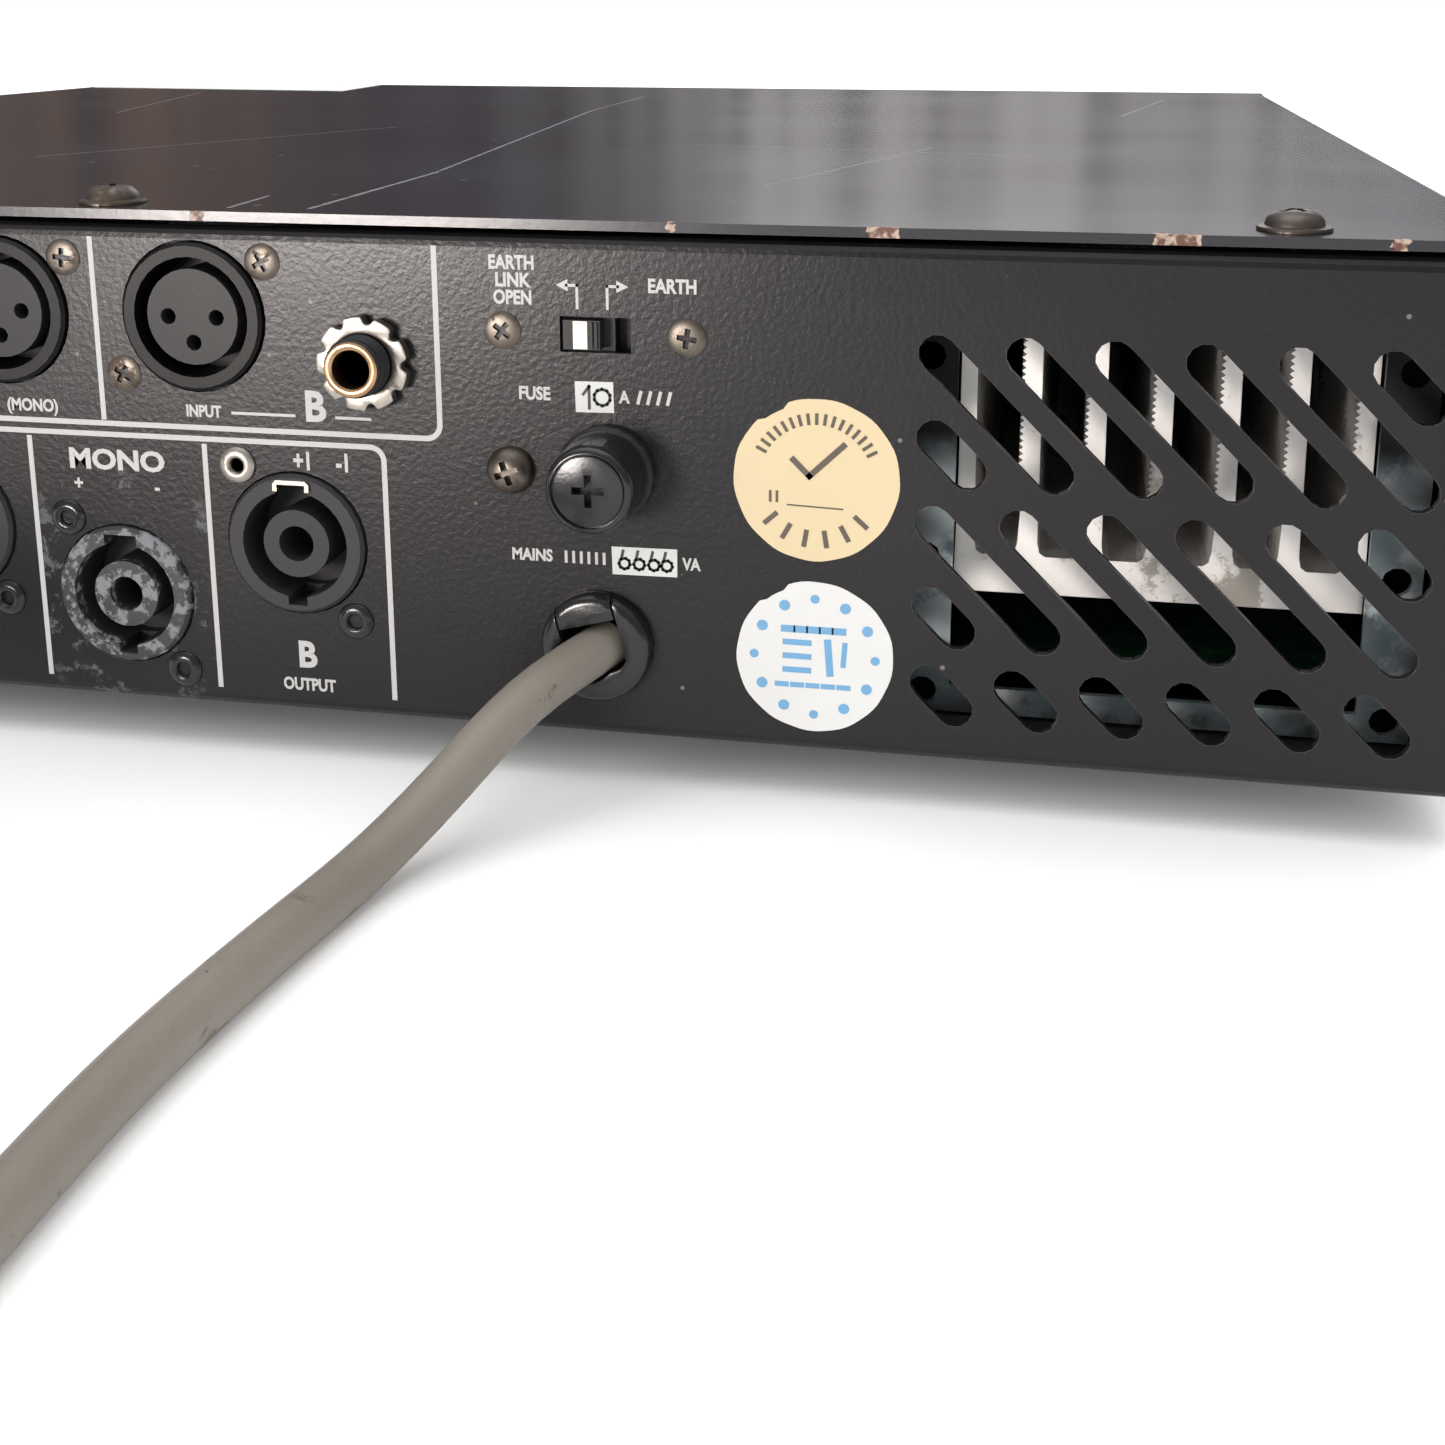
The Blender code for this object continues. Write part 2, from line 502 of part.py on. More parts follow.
def make_xlr_sockets():
    """Female three-contact inputs."""
    for name, side in (("xlr_input_a", 1), ("xlr_input_b", -1)):
        x, z = side * XLR_X, FOOT_HEIGHT + XLR_Z
        socket = panel_connector(name, x, z, XLR_RADIUS, XLR_GROOVE_OUTER, XLR_CORE_RADIUS, XLR_FLANGE)
        holes = bmesh.new()
        for turn in (0, 180, 270):
            dx = XLR_CONTACT_CIRCLE * math.cos(math.radians(turn))
            dz = XLR_CONTACT_CIRCLE * math.sin(math.radians(turn))
            cylinder(holes, XLR_CONTACT_RADIUS, REAR_Y - GROOVE_DEPTH, REAR_Y + 2 * MM,
                     (x + dx, 0, z + dz), (0, 1, 0), SMALL_ROUND // 2)
        cut(socket, holes, name + "_contacts")


def make_speaker_sockets():
    """Twist-lock loudspeaker outputs with a hollow core."""
    for name, x, height in SPEAKER_PLACES:
        z = FOOT_HEIGHT + height
        socket = panel_connector(name, x, z, SPEAKER_RADIUS, SPEAKER_GROOVE_OUTER, SPEAKER_CORE_RADIUS,
                                 SPEAKER_FLANGE)
        bore = bmesh.new()
        cylinder(bore, SPEAKER_CORE_BORE, REAR_Y - GROOVE_DEPTH, REAR_Y + 2 * MM, (x, 0, z), (0, 1, 0),
                 SMALL_ROUND)
        cut(socket, bore, name + "_bore")
        for side, width in ((1, SPEAKER_KEYWAYS[0]), (-1, SPEAKER_KEYWAYS[1])):
            inner, outer = SPEAKER_GROOVE_OUTER - 1.5 * MM, SPEAKER_GROOVE_OUTER + 1.3 * MM
            low, high = sorted((side * inner, side * outer))
            keyway = bmesh.new()
            add_box(keyway, (x - width / 2, REAR_Y - SPEAKER_KEYWAY_DEPTH, z + low),
                    (x + width / 2, REAR_Y + 2 * MM, z + high))
            cut(socket, keyway, name + ("_wide_keyway" if side > 0 else "_narrow_keyway"))


def make_jacks():
    """Quarter-inch jack inputs: threaded barrel, body behind the panel, and a round nut."""
    for letter, side in (("a", 1), ("b", -1)):
        x, z = side * JACK_X, FOOT_HEIGHT + JACK_Z
        chamfer = 0.4 * MM
        profile = ((0, JACK_OUT), (JACK_BARREL_RADIUS - chamfer, JACK_OUT),
                   (JACK_BARREL_RADIUS, JACK_OUT - chamfer), (JACK_BARREL_RADIUS, -JACK_BARREL_DEPTH),
                   (0, -JACK_BARREL_DEPTH))
        mesh = bmesh.new()
        turned(mesh, profile, (x, REAR_Y, z), (0, 1, 0), SMALL_ROUND)
        jack = finish("jack_input_" + letter, mesh, BLACK_PLASTIC, 40)
        half, length = JACK_BODY[0] / 2, JACK_BODY[1]
        seat = PANEL_BACK - GAP
        body = bmesh.new()
        add_box(body, (x - half, seat - length, z - half), (x + half, seat, z + half))
        join(jack, body, "jack_body_" + letter)
        bore = bmesh.new()
        cylinder(bore, JACK_BORE_RADIUS, -JACK_BORE_DEPTH, JACK_OUT + 1 * MM, (x, REAR_Y, z), (0, 1, 0),
                 SMALL_ROUND)
        cut(jack, bore, "jack_bore_" + letter)

        nut = bmesh.new()
        ring = ((JACK_BARREL_RADIUS + GAP, GAP), (JACK_BARREL_RADIUS + GAP, GAP + JACK_NUT_THICKNESS),
                (JACK_NUT_RADIUS, GAP + JACK_NUT_THICKNESS), (JACK_NUT_RADIUS, GAP))
        turned(nut, ring, (x, REAR_Y, z), (0, 1, 0), ROUND)
        finish("jack_nut_" + letter, nut, NICKEL, 30)


def make_ground_switch():
    """Slide switch behind its window: a body with a pocket, and the slider that runs in it."""
    z = FOOT_HEIGHT + SWITCH_Z
    front = PANEL_BACK - GAP
    width, height, depth = SWITCH_BODY
    mesh = bmesh.new()
    add_box(mesh, (SWITCH_X - width / 2, front - depth, z - height / 2),
            (SWITCH_X + width / 2, front, z + height / 2))
    body = finish("ground_switch_body", mesh, BLACK_PLASTIC)
    pocket_w, pocket_h = SWITCH_POCKET
    pocket = bmesh.new()
    add_box(pocket, (SWITCH_X - pocket_w / 2, front - SWITCH_POCKET_DEPTH, z - pocket_h / 2),
            (SWITCH_X + pocket_w / 2, front + 1 * MM, z + pocket_h / 2))
    cut(body, pocket, "switch_pocket")

    rest_x = SWITCH_X + SWITCH_TRAVEL / 2
    shoe_w, shoe_h, shoe_d = SWITCH_SHOE
    knob_w, knob_h = SWITCH_KNOB
    shoe_front = front - GAP
    slider_mesh = bmesh.new()
    add_box(slider_mesh, (rest_x - shoe_w / 2, shoe_front - shoe_d, z - shoe_h / 2),
            (rest_x + shoe_w / 2, shoe_front, z + shoe_h / 2))
    slider = finish("ground_switch_slider", slider_mesh, BLACK_PLASTIC)
    knob = bmesh.new()
    add_box(knob, (rest_x - knob_w / 2, shoe_front - 1 * MM, z - knob_h / 2),
            (rest_x + knob_w / 2, REAR_Y + SWITCH_KNOB_OUT, z + knob_h / 2))
    join(slider, knob, "slider_knob")


def make_fuse():
    """Panel fuse holder, its bayonet cap with a cross slot, and the cartridge inside."""
    z = FOOT_HEIGHT + FUSE_Z
    centre = (FUSE_X, REAR_Y, z)
    tube = ((FUSE_BORE_RADIUS, FUSE_FLANGE_OUT + GAP), (FUSE_FLANGE_RADIUS - 0.5 * MM, FUSE_FLANGE_OUT + GAP),
            (FUSE_FLANGE_RADIUS, FUSE_FLANGE_OUT - 0.3 * MM), (FUSE_FLANGE_RADIUS, GAP),
            (FUSE_TUBE_RADIUS, GAP), (FUSE_TUBE_RADIUS, -FUSE_TUBE_DEPTH), (0, -FUSE_TUBE_DEPTH),
            (0, -FUSE_TUBE_DEPTH + 2 * MM), (FUSE_BORE_RADIUS, -FUSE_TUBE_DEPTH + 2 * MM))
    mesh = bmesh.new()
    turned(mesh, tube, centre, (0, 1, 0), SMALL_ROUND)
    finish("fuse_holder", mesh, BLACK_PLASTIC, 40)

    back = FUSE_FLANGE_OUT + 2 * GAP
    rim = 1.2 * MM
    cap_profile = ((0, FUSE_CAP_OUT - rim / 2), (FUSE_CAP_RADIUS - rim, FUSE_CAP_OUT - rim / 2),
                   (FUSE_CAP_RADIUS - rim, FUSE_CAP_OUT), (FUSE_CAP_RADIUS - rim / 2, FUSE_CAP_OUT),
                   (FUSE_CAP_RADIUS, FUSE_CAP_OUT - rim / 2), (FUSE_CAP_RADIUS, back),
                   (FUSE_PLUG_RADIUS, back), (FUSE_PLUG_RADIUS, back - FUSE_PLUG_LENGTH),
                   (FUSE_FERRULE_RADIUS + GAP, back - FUSE_PLUG_LENGTH), (FUSE_FERRULE_RADIUS + GAP, back),
                   (0, back))
    mesh = bmesh.new()
    turned(mesh, cap_profile, centre, (0, 1, 0), ROUND)
    cap = finish("fuse_cap", mesh, BLACK_PLASTIC, 40)
    arm, half = CROSS_SLOT
    corners = []
    for turn in range(4):
        for across, along in ((half, half), (half, arm), (-half, arm)):
            quarter = turn * math.pi / 2
            corners.append((FUSE_X + across * math.cos(quarter) - along * math.sin(quarter),
                            z + across * math.sin(quarter) + along * math.cos(quarter)))
    cross = bmesh.new()
    add_prism(cross, corners, "Y", REAR_Y + FUSE_CAP_OUT - CROSS_DEPTH, REAR_Y + FUSE_CAP_OUT + 1 * MM)
    cut(cap, cross, "cross_slot")

    top = back - GAP
    bottom = top - FUSE_LENGTH
    cartridge = ((0, top), (FUSE_FERRULE_RADIUS, top), (FUSE_FERRULE_RADIUS, top - FUSE_FERRULE_LENGTH),
                 (FUSE_RADIUS, top - FUSE_FERRULE_LENGTH), (FUSE_RADIUS, bottom + FUSE_FERRULE_LENGTH),
                 (FUSE_FERRULE_RADIUS, bottom + FUSE_FERRULE_LENGTH), (FUSE_FERRULE_RADIUS, bottom),
                 (0, bottom))
    mesh = bmesh.new()
    turned(mesh, cartridge, centre, (0, 1, 0), SMALL_ROUND)
    finish("fuse_cartridge", mesh, NICKEL, 40)


def relief_blank(mesh):
    """The bushing before it is split: a round-edged head and the neck through the panel."""
    edge = arc((RELIEF_RADIUS - RELIEF_ROUNDING, RELIEF_OUT - RELIEF_ROUNDING), RELIEF_ROUNDING, 90, 0, 3)
    profile = [(0, RELIEF_OUT)] + edge + [(RELIEF_RADIUS, GAP), (RELIEF_NECK_RADIUS, GAP),
                                          (RELIEF_NECK_RADIUS, -RELIEF_NECK_LENGTH), (0, -RELIEF_NECK_LENGTH)]
    turned(mesh, profile, (RELIEF_X, REAR_Y, FOOT_HEIGHT + RELIEF_Z), (0, 1, 0), ROUND)


def relief_outline(points):
    """An outline in the bushing's own directions, across and up, rolled and put in its place."""
    across = (math.cos(RELIEF_ROLL), -math.sin(RELIEF_ROLL))
    upward = (math.sin(RELIEF_ROLL), math.cos(RELIEF_ROLL))
    return [(RELIEF_X + a * across[0] + b * upward[0], FOOT_HEIGHT + RELIEF_Z + a * across[1] + b * upward[1])
            for a, b in points]


def make_strain_relief():
    """Bushing that grips the lead: a round body, and the wedge let into its top."""
    far, near = REAR_Y - RELIEF_NECK_LENGTH - 1 * MM, REAR_Y + RELIEF_OUT + 1 * MM
    half, low, high = RELIEF_WEDGE_HALF, RELIEF_WEDGE_LOW, RELIEF_RADIUS + 1 * MM
    mesh = bmesh.new()
    relief_blank(mesh)
    body = finish("strain_relief_body", mesh, GLOSS_PLASTIC, 40)
    corner = RELIEF_MOUTH_CORNER
    mouth = [(half + GAP, high), (-half - GAP, high)]
    mouth += arc((-half - GAP + corner, RELIEF_MOUTH_LOW + corner), corner, 180, 270, 4)
    mouth += arc((half + GAP - corner, RELIEF_MOUTH_LOW + corner), corner, 270, 360, 4)
    opening = bmesh.new()
    add_prism(opening, relief_outline(mouth), "Y", far, near)
    cut(body, opening, "relief_mouth")
    start, after = Vector(CORD_ROUTE[0]) * MM, Vector(CORD_ROUTE[1]) * MM
    flare = bmesh.new()
    cylinder(flare, CORD_DIAMETER / 2 + 2 * GAP, -2 * MM, RELIEF_NECK_LENGTH * 1.5,
             start + Vector((0, REAR_Y, 0)), after - start, SMALL_ROUND)
    cut(body, flare, "relief_flare")

    mesh = bmesh.new()
    relief_blank(mesh)
    wedge = finish("strain_relief_wedge", mesh, GLOSS_PLASTIC, 40)
    keep = bmesh.new()
    add_prism(keep, relief_outline([(-half, low), (half, low), (half, high), (-half, high)]), "Y", far, near)
    combine(wedge, keep, "wedge_sides", "INTERSECT")


def smooth_curve(points, step):
    """Points a step apart along a natural cubic curve through the given ones."""
    points = np.array(points, dtype=float)
    knots = np.concatenate(([0.0], np.cumsum(np.linalg.norm(np.diff(points, axis=0), axis=1))))
    count = len(points)
    gaps = np.diff(knots)
    system = np.eye(count)
    right = np.zeros_like(points)
    for i in range(1, count - 1):
        system[i, i - 1:i + 2] = gaps[i - 1], 2 * (gaps[i - 1] + gaps[i]), gaps[i]
        right[i] = 6 * ((points[i + 1] - points[i]) / gaps[i] - (points[i] - points[i - 1]) / gaps[i - 1])
    bend = np.linalg.solve(system, right)
    made = []
    for at in np.linspace(0, knots[-1], max(2, round(knots[-1] / step) + 1)):
        i = min(count - 2, int(np.searchsorted(knots, at, side="right")) - 1)
        a, b = (knots[i + 1] - at) / gaps[i], (at - knots[i]) / gaps[i]
        made.append(a * points[i] + b * points[i + 1]
                    + ((a ** 3 - a) * bend[i] + (b ** 3 - b) * bend[i + 1]) * gaps[i] ** 2 / 6)
    return made


def make_mains_lead():
    """The lead from the bushing along the floor, its coil, and the plug at its end."""
    route = [(x * MM, REAR_Y + out * MM, up * MM) for x, out, up in CORD_ROUTE]
    curve = bpy.data.curves.new("mains_cord", "CURVE")
    curve.dimensions = "3D"
    curve.bevel_depth = CORD_DIAMETER / 2
    curve.bevel_resolution = 2
    curve.use_fill_caps = True
    points = smooth_curve(route, CORD_STEP * CORD_DIAMETER)
    spline = curve.splines.new("POLY")
    spline.points.add(len(points) - 1)
    for place, point in zip(points, spline.points):
        point.co = (*place, 1.0)
    curve.materials.append(CORD_GREY)
    bpy.context.collection.objects.link(bpy.data.objects.new("mains_cord", curve))

    half_width = COIL_COLUMNS * CORD_DIAMETER / 2
    height = CORD_DIAMETER + (COIL_LAYERS - 1) * COIL_LAYER_RISE
    rounding = CORD_DIAMETER / 2
    inner, outer = COIL_MIDDLE_RADIUS - half_width, COIL_MIDDLE_RADIUS + half_width
    ring = arc((outer - rounding, rounding), rounding, -90, 0, 3)
    ring += arc((outer - rounding, height - rounding), rounding, 0, 90, 3)
    ring += arc((inner + rounding, height - rounding), rounding, 90, 180, 3)
    ring += arc((inner + rounding, rounding), rounding, 180, 270, 3)
    mesh = bmesh.new()
    turned(mesh, ring, (COIL_X, REAR_Y + COIL_OUT, 0), (0, 0, 1), ROUND)
    finish("cord_coil", mesh, CORD_GREY, 60)

    # The plug lies beside the coil, and its neck ends where the outermost turn would leave it.
    plug_x = COIL_X + COIL_MIDDLE_RADIUS
    neck_tip = PLUG_NECK_RADIUS * 0.8
    along = math.sqrt((outer + GAP) ** 2 - (COIL_MIDDLE_RADIUS - neck_tip) ** 2)
    body_end = PLUG_NECK_LENGTH + PLUG_LENGTH
    body = ((0, 0), (neck_tip, 0), (PLUG_NECK_RADIUS, PLUG_NECK_LENGTH * 0.7),
            (PLUG_RADIUS * 0.62, PLUG_NECK_LENGTH), (PLUG_RADIUS - 2 * MM, PLUG_NECK_LENGTH + 12 * MM),
            (PLUG_RADIUS, PLUG_NECK_LENGTH + 16 * MM), (PLUG_RADIUS, body_end), (0, body_end))
    centre = (plug_x, REAR_Y + COIL_OUT - along, PLUG_RADIUS)
    mesh = bmesh.new()
    turned(mesh, body, centre, (0, -1, 0), ROUND)
    plug = finish("mains_plug", mesh, BLACK_PLASTIC, 40)
    pins = bmesh.new()
    for side in (-1, 1):
        cylinder(pins, PLUG_PIN_RADIUS, body_end - 3 * MM, body_end + PLUG_PIN_LENGTH,
                 (plug_x + side * PLUG_PIN_SPACING / 2, centre[1], PLUG_RADIUS), (0, -1, 0), SMALL_ROUND // 2)
    join(plug, pins, "plug_pins")


def make_heat_sinks():
    """Finned extrusions behind the vents, each in the wind of its own fan."""
    pitch = (SINK_WIDTH - FIN_THICKNESS) / (FIN_COUNT - 1)
    base_low = FOOT_HEIGHT + SINK_BASE_Z
    base_high = base_low + SINK_BASE_THICKNESS
    thick_top = base_high + FIN_ROOT_RISE
    top = FOOT_HEIGHT + SINK_TOP_Z
    rear = REAR_Y - SINK_SETBACK
    for letter, side in (("a", 1), ("b", -1)):
        left = side * SINK_X - SINK_WIDTH / 2
        outline = [(left, base_low)]
        for i in range(FIN_COUNT):
            near = left + i * pitch
            far = near + FIN_THICKNESS
            if i > 0:
                outline += [(near - FIN_ROOT_SIDE, base_high), (near - FIN_ROOT_SIDE, thick_top),
                            (near, thick_top + 1 * MM)]
            outline += [(near, top), (far, top)]
            if i < FIN_COUNT - 1:
                outline += [(far, thick_top + 1 * MM), (far + FIN_ROOT_SIDE, thick_top),
                            (far + FIN_ROOT_SIDE, base_high)]
        outline.append((left + SINK_WIDTH, base_low))
        mesh = bmesh.new()
        add_prism(mesh, outline, "Y", rear - SINK_LENGTH, rear)
        finish("heat_sink_" + letter, mesh, ALUMINIUM)

        for number, out in enumerate(TRANSISTOR_OUT, start=1):
            width, length, thick = TRANSISTOR
            mesh = bmesh.new()
            x = side * SINK_X
            add_box(mesh, (x - width / 2, rear - out - length, base_low - GAP - thick),
                    (x + width / 2, rear - out, base_low - GAP))
            finish("transistor_" + letter + str(number), mesh, BLACK_PLASTIC)

        board_top = FOOT_HEIGHT + AMP_BOARD_Z
        mesh = bmesh.new()
        add_box(mesh, (side * SINK_X - AMP_BOARD_WIDTH / 2, rear - 8 * MM - AMP_BOARD_LENGTH,
                       board_top - BOARD_THICKNESS),
                (side * SINK_X + AMP_BOARD_WIDTH / 2, rear - 8 * MM, board_top))
        finish("amplifier_board_" + letter, mesh, BOARD_GREEN)


def make_ducts():
    """Zinc-plated frames that close the space round the end of each heat sink."""
    for letter, side in (("a", 1), ("b", -1)):
        x = side * SINK_X
        low = BASE_TOP + GAP
        high = low + DUCT_HEIGHT
        back, front = REAR_Y - DUCT_SETBACK - DUCT_SHEET, REAR_Y - DUCT_SETBACK
        mesh = bmesh.new()
        add_box(mesh, (x - DUCT_WIDTH / 2, back, low), (x + DUCT_WIDTH / 2, front, high))
        plate = finish("duct_plate_" + letter, mesh, ZINC)
        opening = bmesh.new()
        add_box(opening, (x - SINK_WIDTH / 2, back - 1 * MM, FOOT_HEIGHT + DUCT_OPENING_BOTTOM),
                (x + SINK_WIDTH / 2, front + 1 * MM, FOOT_HEIGHT + DUCT_OPENING_TOP))
        for hole_side in (-1, 1):
            for height in DUCT_HOLE_HEIGHTS:
                cylinder(opening, DUCT_HOLE_RADIUS, back - 1 * MM, front + 1 * MM,
                         (x + hole_side * DUCT_HOLE_OFFSET, 0, FOOT_HEIGHT + height), (0, 1, 0),
                         SMALL_ROUND // 2)
        cut(plate, opening, "duct_opening_" + letter)


def make_fans():
    """Fans at the front end of each heat sink: a square frame with spokes, and its rotor."""
    front = REAR_Y - SINK_SETBACK - SINK_LENGTH - FAN_GAP - FAN_DEPTH
    low = BASE_TOP + GAP
    centre_z = low + FAN_SIZE / 2
    for letter, side in (("a", 1), ("b", -1)):
        x = side * SINK_X
        mesh = bmesh.new()
        add_box(mesh, (x - FAN_SIZE / 2, front, low), (x + FAN_SIZE / 2, front + FAN_DEPTH, low + FAN_SIZE))
        frame = finish("fan_frame_" + letter, mesh, BLACK_PLASTIC)
        bore = bmesh.new()
        before, behind, hub_end = front - 1 * MM, front + FAN_DEPTH + 1 * MM, front + FAN_SPOKE_DEPTH
        ring = ((FAN_HUB_RADIUS, before), (FAN_BORE, before), (FAN_BORE, behind), (0, behind), (0, hub_end),
                (FAN_HUB_RADIUS, hub_end))
        turned(bore, ring, (x, 0, centre_z), (0, 1, 0), ROUND)
        cut(frame, bore, "fan_bore_" + letter)
        for turn in (45, 135):
            spokes = bmesh.new()
            add_box(spokes, (-FAN_BORE - 0.8 * MM, front, -FAN_SPOKE / 2),
                    (FAN_BORE + 0.8 * MM, front + FAN_SPOKE_DEPTH, FAN_SPOKE / 2))
            bmesh.ops.rotate(spokes, verts=spokes.verts, cent=(0, 0, 0),
                             matrix=Matrix.Rotation(math.radians(turn), 3, "Y"))
            bmesh.ops.translate(spokes, verts=spokes.verts, vec=(x, 0, centre_z))
            join(frame, spokes, "fan_spokes_" + letter + str(turn))

        hub_front = front + FAN_SPOKE_DEPTH + FAN_CLEARANCE
        hub_back = front + FAN_DEPTH - FAN_CLEARANCE
        rotor_mesh = bmesh.new()
        cylinder(rotor_mesh, FAN_HUB_RADIUS, 0, hub_back - hub_front, (0, 0, 0), (0, 1, 0), SMALL_ROUND)
        rotor = finish("fan_rotor_" + letter, rotor_mesh, BLACK_PLASTIC, 40)
        rotor.location = (x, hub_front, centre_z)
        blades = bmesh.new()
        middle = (hub_back - hub_front) / 2
        for i in range(FAN_BLADES):
            blade = bmesh.new()
            add_box(blade, (FAN_HUB_RADIUS - 2 * MM, -FAN_BLADE_CHORD / 2, -FAN_BLADE_THICKNESS / 2),
                    (FAN_BLADE_TIP, FAN_BLADE_CHORD / 2, FAN_BLADE_THICKNESS / 2))
            bmesh.ops.rotate(blade, verts=blade.verts, cent=(0, 0, 0),
                             matrix=Matrix.Rotation(FAN_BLADE_PITCH, 3, "X"))
            bmesh.ops.translate(blade, verts=blade.verts, vec=(0, middle, 0))
            bmesh.ops.rotate(blade, verts=blade.verts, cent=(0, 0, 0),
                             matrix=Matrix.Rotation(2 * math.pi * i / FAN_BLADES, 3, "Y"))
            spare = bpy.data.meshes.new("blade")
            blade.to_mesh(spare)
            blade.free()
            blades.from_mesh(spare)
            bpy.data.meshes.remove(spare)
        join(rotor, blades, "fan_blades_" + letter).location = rotor.location


def make_power_supply():
    """Toroidal transformer with its plate and bolt, rectifier, board and storage capacitors."""
    low = BASE_TOP + GAP
    round_off = TOROID_ROUNDING
    outline = arc((TOROID_RADIUS - round_off, low + round_off), round_off, -90, 0, 3)
    outline += arc((TOROID_RADIUS - round_off, low + TOROID_HEIGHT - round_off), round_off, 0, 90, 3)
    outline += arc((TOROID_BORE + round_off, low + TOROID_HEIGHT - round_off), round_off, 90, 180, 3)
    outline += arc((TOROID_BORE + round_off, low + round_off), round_off, 180, 270, 3)
    mesh = bmesh.new()
    turned(mesh, outline, (0, TOROID_Y, 0), (0, 0, 1), ROUND)
    finish("transformer", mesh, TAPE_YELLOW, 50)

    plate_low = low + TOROID_HEIGHT + GAP
    plate_top = plate_low + TOROID_PLATE_THICKNESS
    head_radius, head_top = TOROID_BOLT_RADIUS * 1.7, plate_top + TOROID_BOLT_HEAD
    clamp = ((0, low), (TOROID_BOLT_RADIUS, low), (TOROID_BOLT_RADIUS, plate_low),
             (TOROID_PLATE_RADIUS, plate_low), (TOROID_PLATE_RADIUS, plate_top), (head_radius, plate_top),
             (head_radius, head_top), (0, head_top))
    mesh = bmesh.new()
    turned(mesh, clamp, (0, TOROID_Y, 0), (0, 0, 1), ROUND)
    finish("transformer_clamp", mesh, ZINC, 40)

    board_top = FOOT_HEIGHT + SUPPLY_BOARD_Z
    width, length = SUPPLY_BOARD
    mesh = bmesh.new()
    add_box(mesh, (-width / 2, SUPPLY_BOARD_Y - length / 2, board_top - BOARD_THICKNESS),
            (width / 2, SUPPLY_BOARD_Y + length / 2, board_top))
    finish("supply_board", mesh, BOARD_GREEN)
    can = ((0, 0), (CAPACITOR_RADIUS - 1 * MM, 0), (CAPACITOR_RADIUS, 1 * MM),
           (CAPACITOR_RADIUS, CAPACITOR_HEIGHT - 1 * MM), (CAPACITOR_RADIUS - 1 * MM, CAPACITOR_HEIGHT),
           (0, CAPACITOR_HEIGHT))
    for name, x in (("capacitor_right", CAPACITOR_X[0]), ("capacitor_left", CAPACITOR_X[1])):
        mesh = bmesh.new()
        turned(mesh, can, (x, SUPPLY_BOARD_Y, board_top + GAP), (0, 0, 1), ROUND)
        finish(name, mesh, SLEEVE_BLUE, 40)
    width, length, height = RECTIFIER
    mesh = bmesh.new()
    add_box(mesh, (-width / 2, SUPPLY_BOARD_Y - length / 2, board_top + GAP),
            (width / 2, SUPPLY_BOARD_Y + length / 2, board_top + GAP + height))
    finish("rectifier", mesh, BLACK_PLASTIC)

    width, length = INPUT_BOARD
    rear = REAR_Y - INPUT_BOARD_SETBACK
    board_low = FOOT_HEIGHT + INPUT_BOARD_Z
    mesh = bmesh.new()
    add_box(mesh, (-width / 2, rear - length, board_low), (width / 2, rear, board_low + BOARD_THICKNESS))
    finish("input_board", mesh, BOARD_GREEN)


def make_front_panel():
    """Thick front panel with holes for the controls and two slotted air intakes."""
    mesh = bmesh.new()
    add_box(mesh, (-BODY_WIDTH / 2, FRONT_Y, FOOT_HEIGHT), (BODY_WIDTH / 2, FRONT_BACK, COVER_TOP))
    panel = finish("front_panel", mesh, BLACK_PAINT)
    bevel = panel.modifiers.new("edges", "BEVEL")
    bevel.width = 0.8 * MM
    bevel.segments = 1
    through = bmesh.new()
    near, far = FRONT_Y - 1 * MM, FRONT_BACK + 1 * MM
    for side in (1, -1):
        for start, end in hatch_slots(INTAKE_INNER_X, INTAKE_SPAN, INTAKE_ROWS, FOOT_HEIGHT, side):
            add_prism(through, slot_outline(start, end, SLOT_WIDTH), "Y", near, far)
    for x in KNOB_X:
        cylinder(through, POT_BUSH_RADIUS + HOLE_CLEARANCE, near, far, (x, 0, FOOT_HEIGHT + KNOB_Z),
                 (0, 1, 0), SMALL_ROUND)
    half_width, half_height = ROCKER_BODY[0] / 2 + GAP, ROCKER_BODY[1] / 2 + GAP
    add_box(through, (ROCKER_X - half_width, near, FOOT_HEIGHT + ROCKER_Z - half_height),
            (ROCKER_X + half_width, far, FOOT_HEIGHT + ROCKER_Z + half_height))
    cut(panel, through, "front_openings")


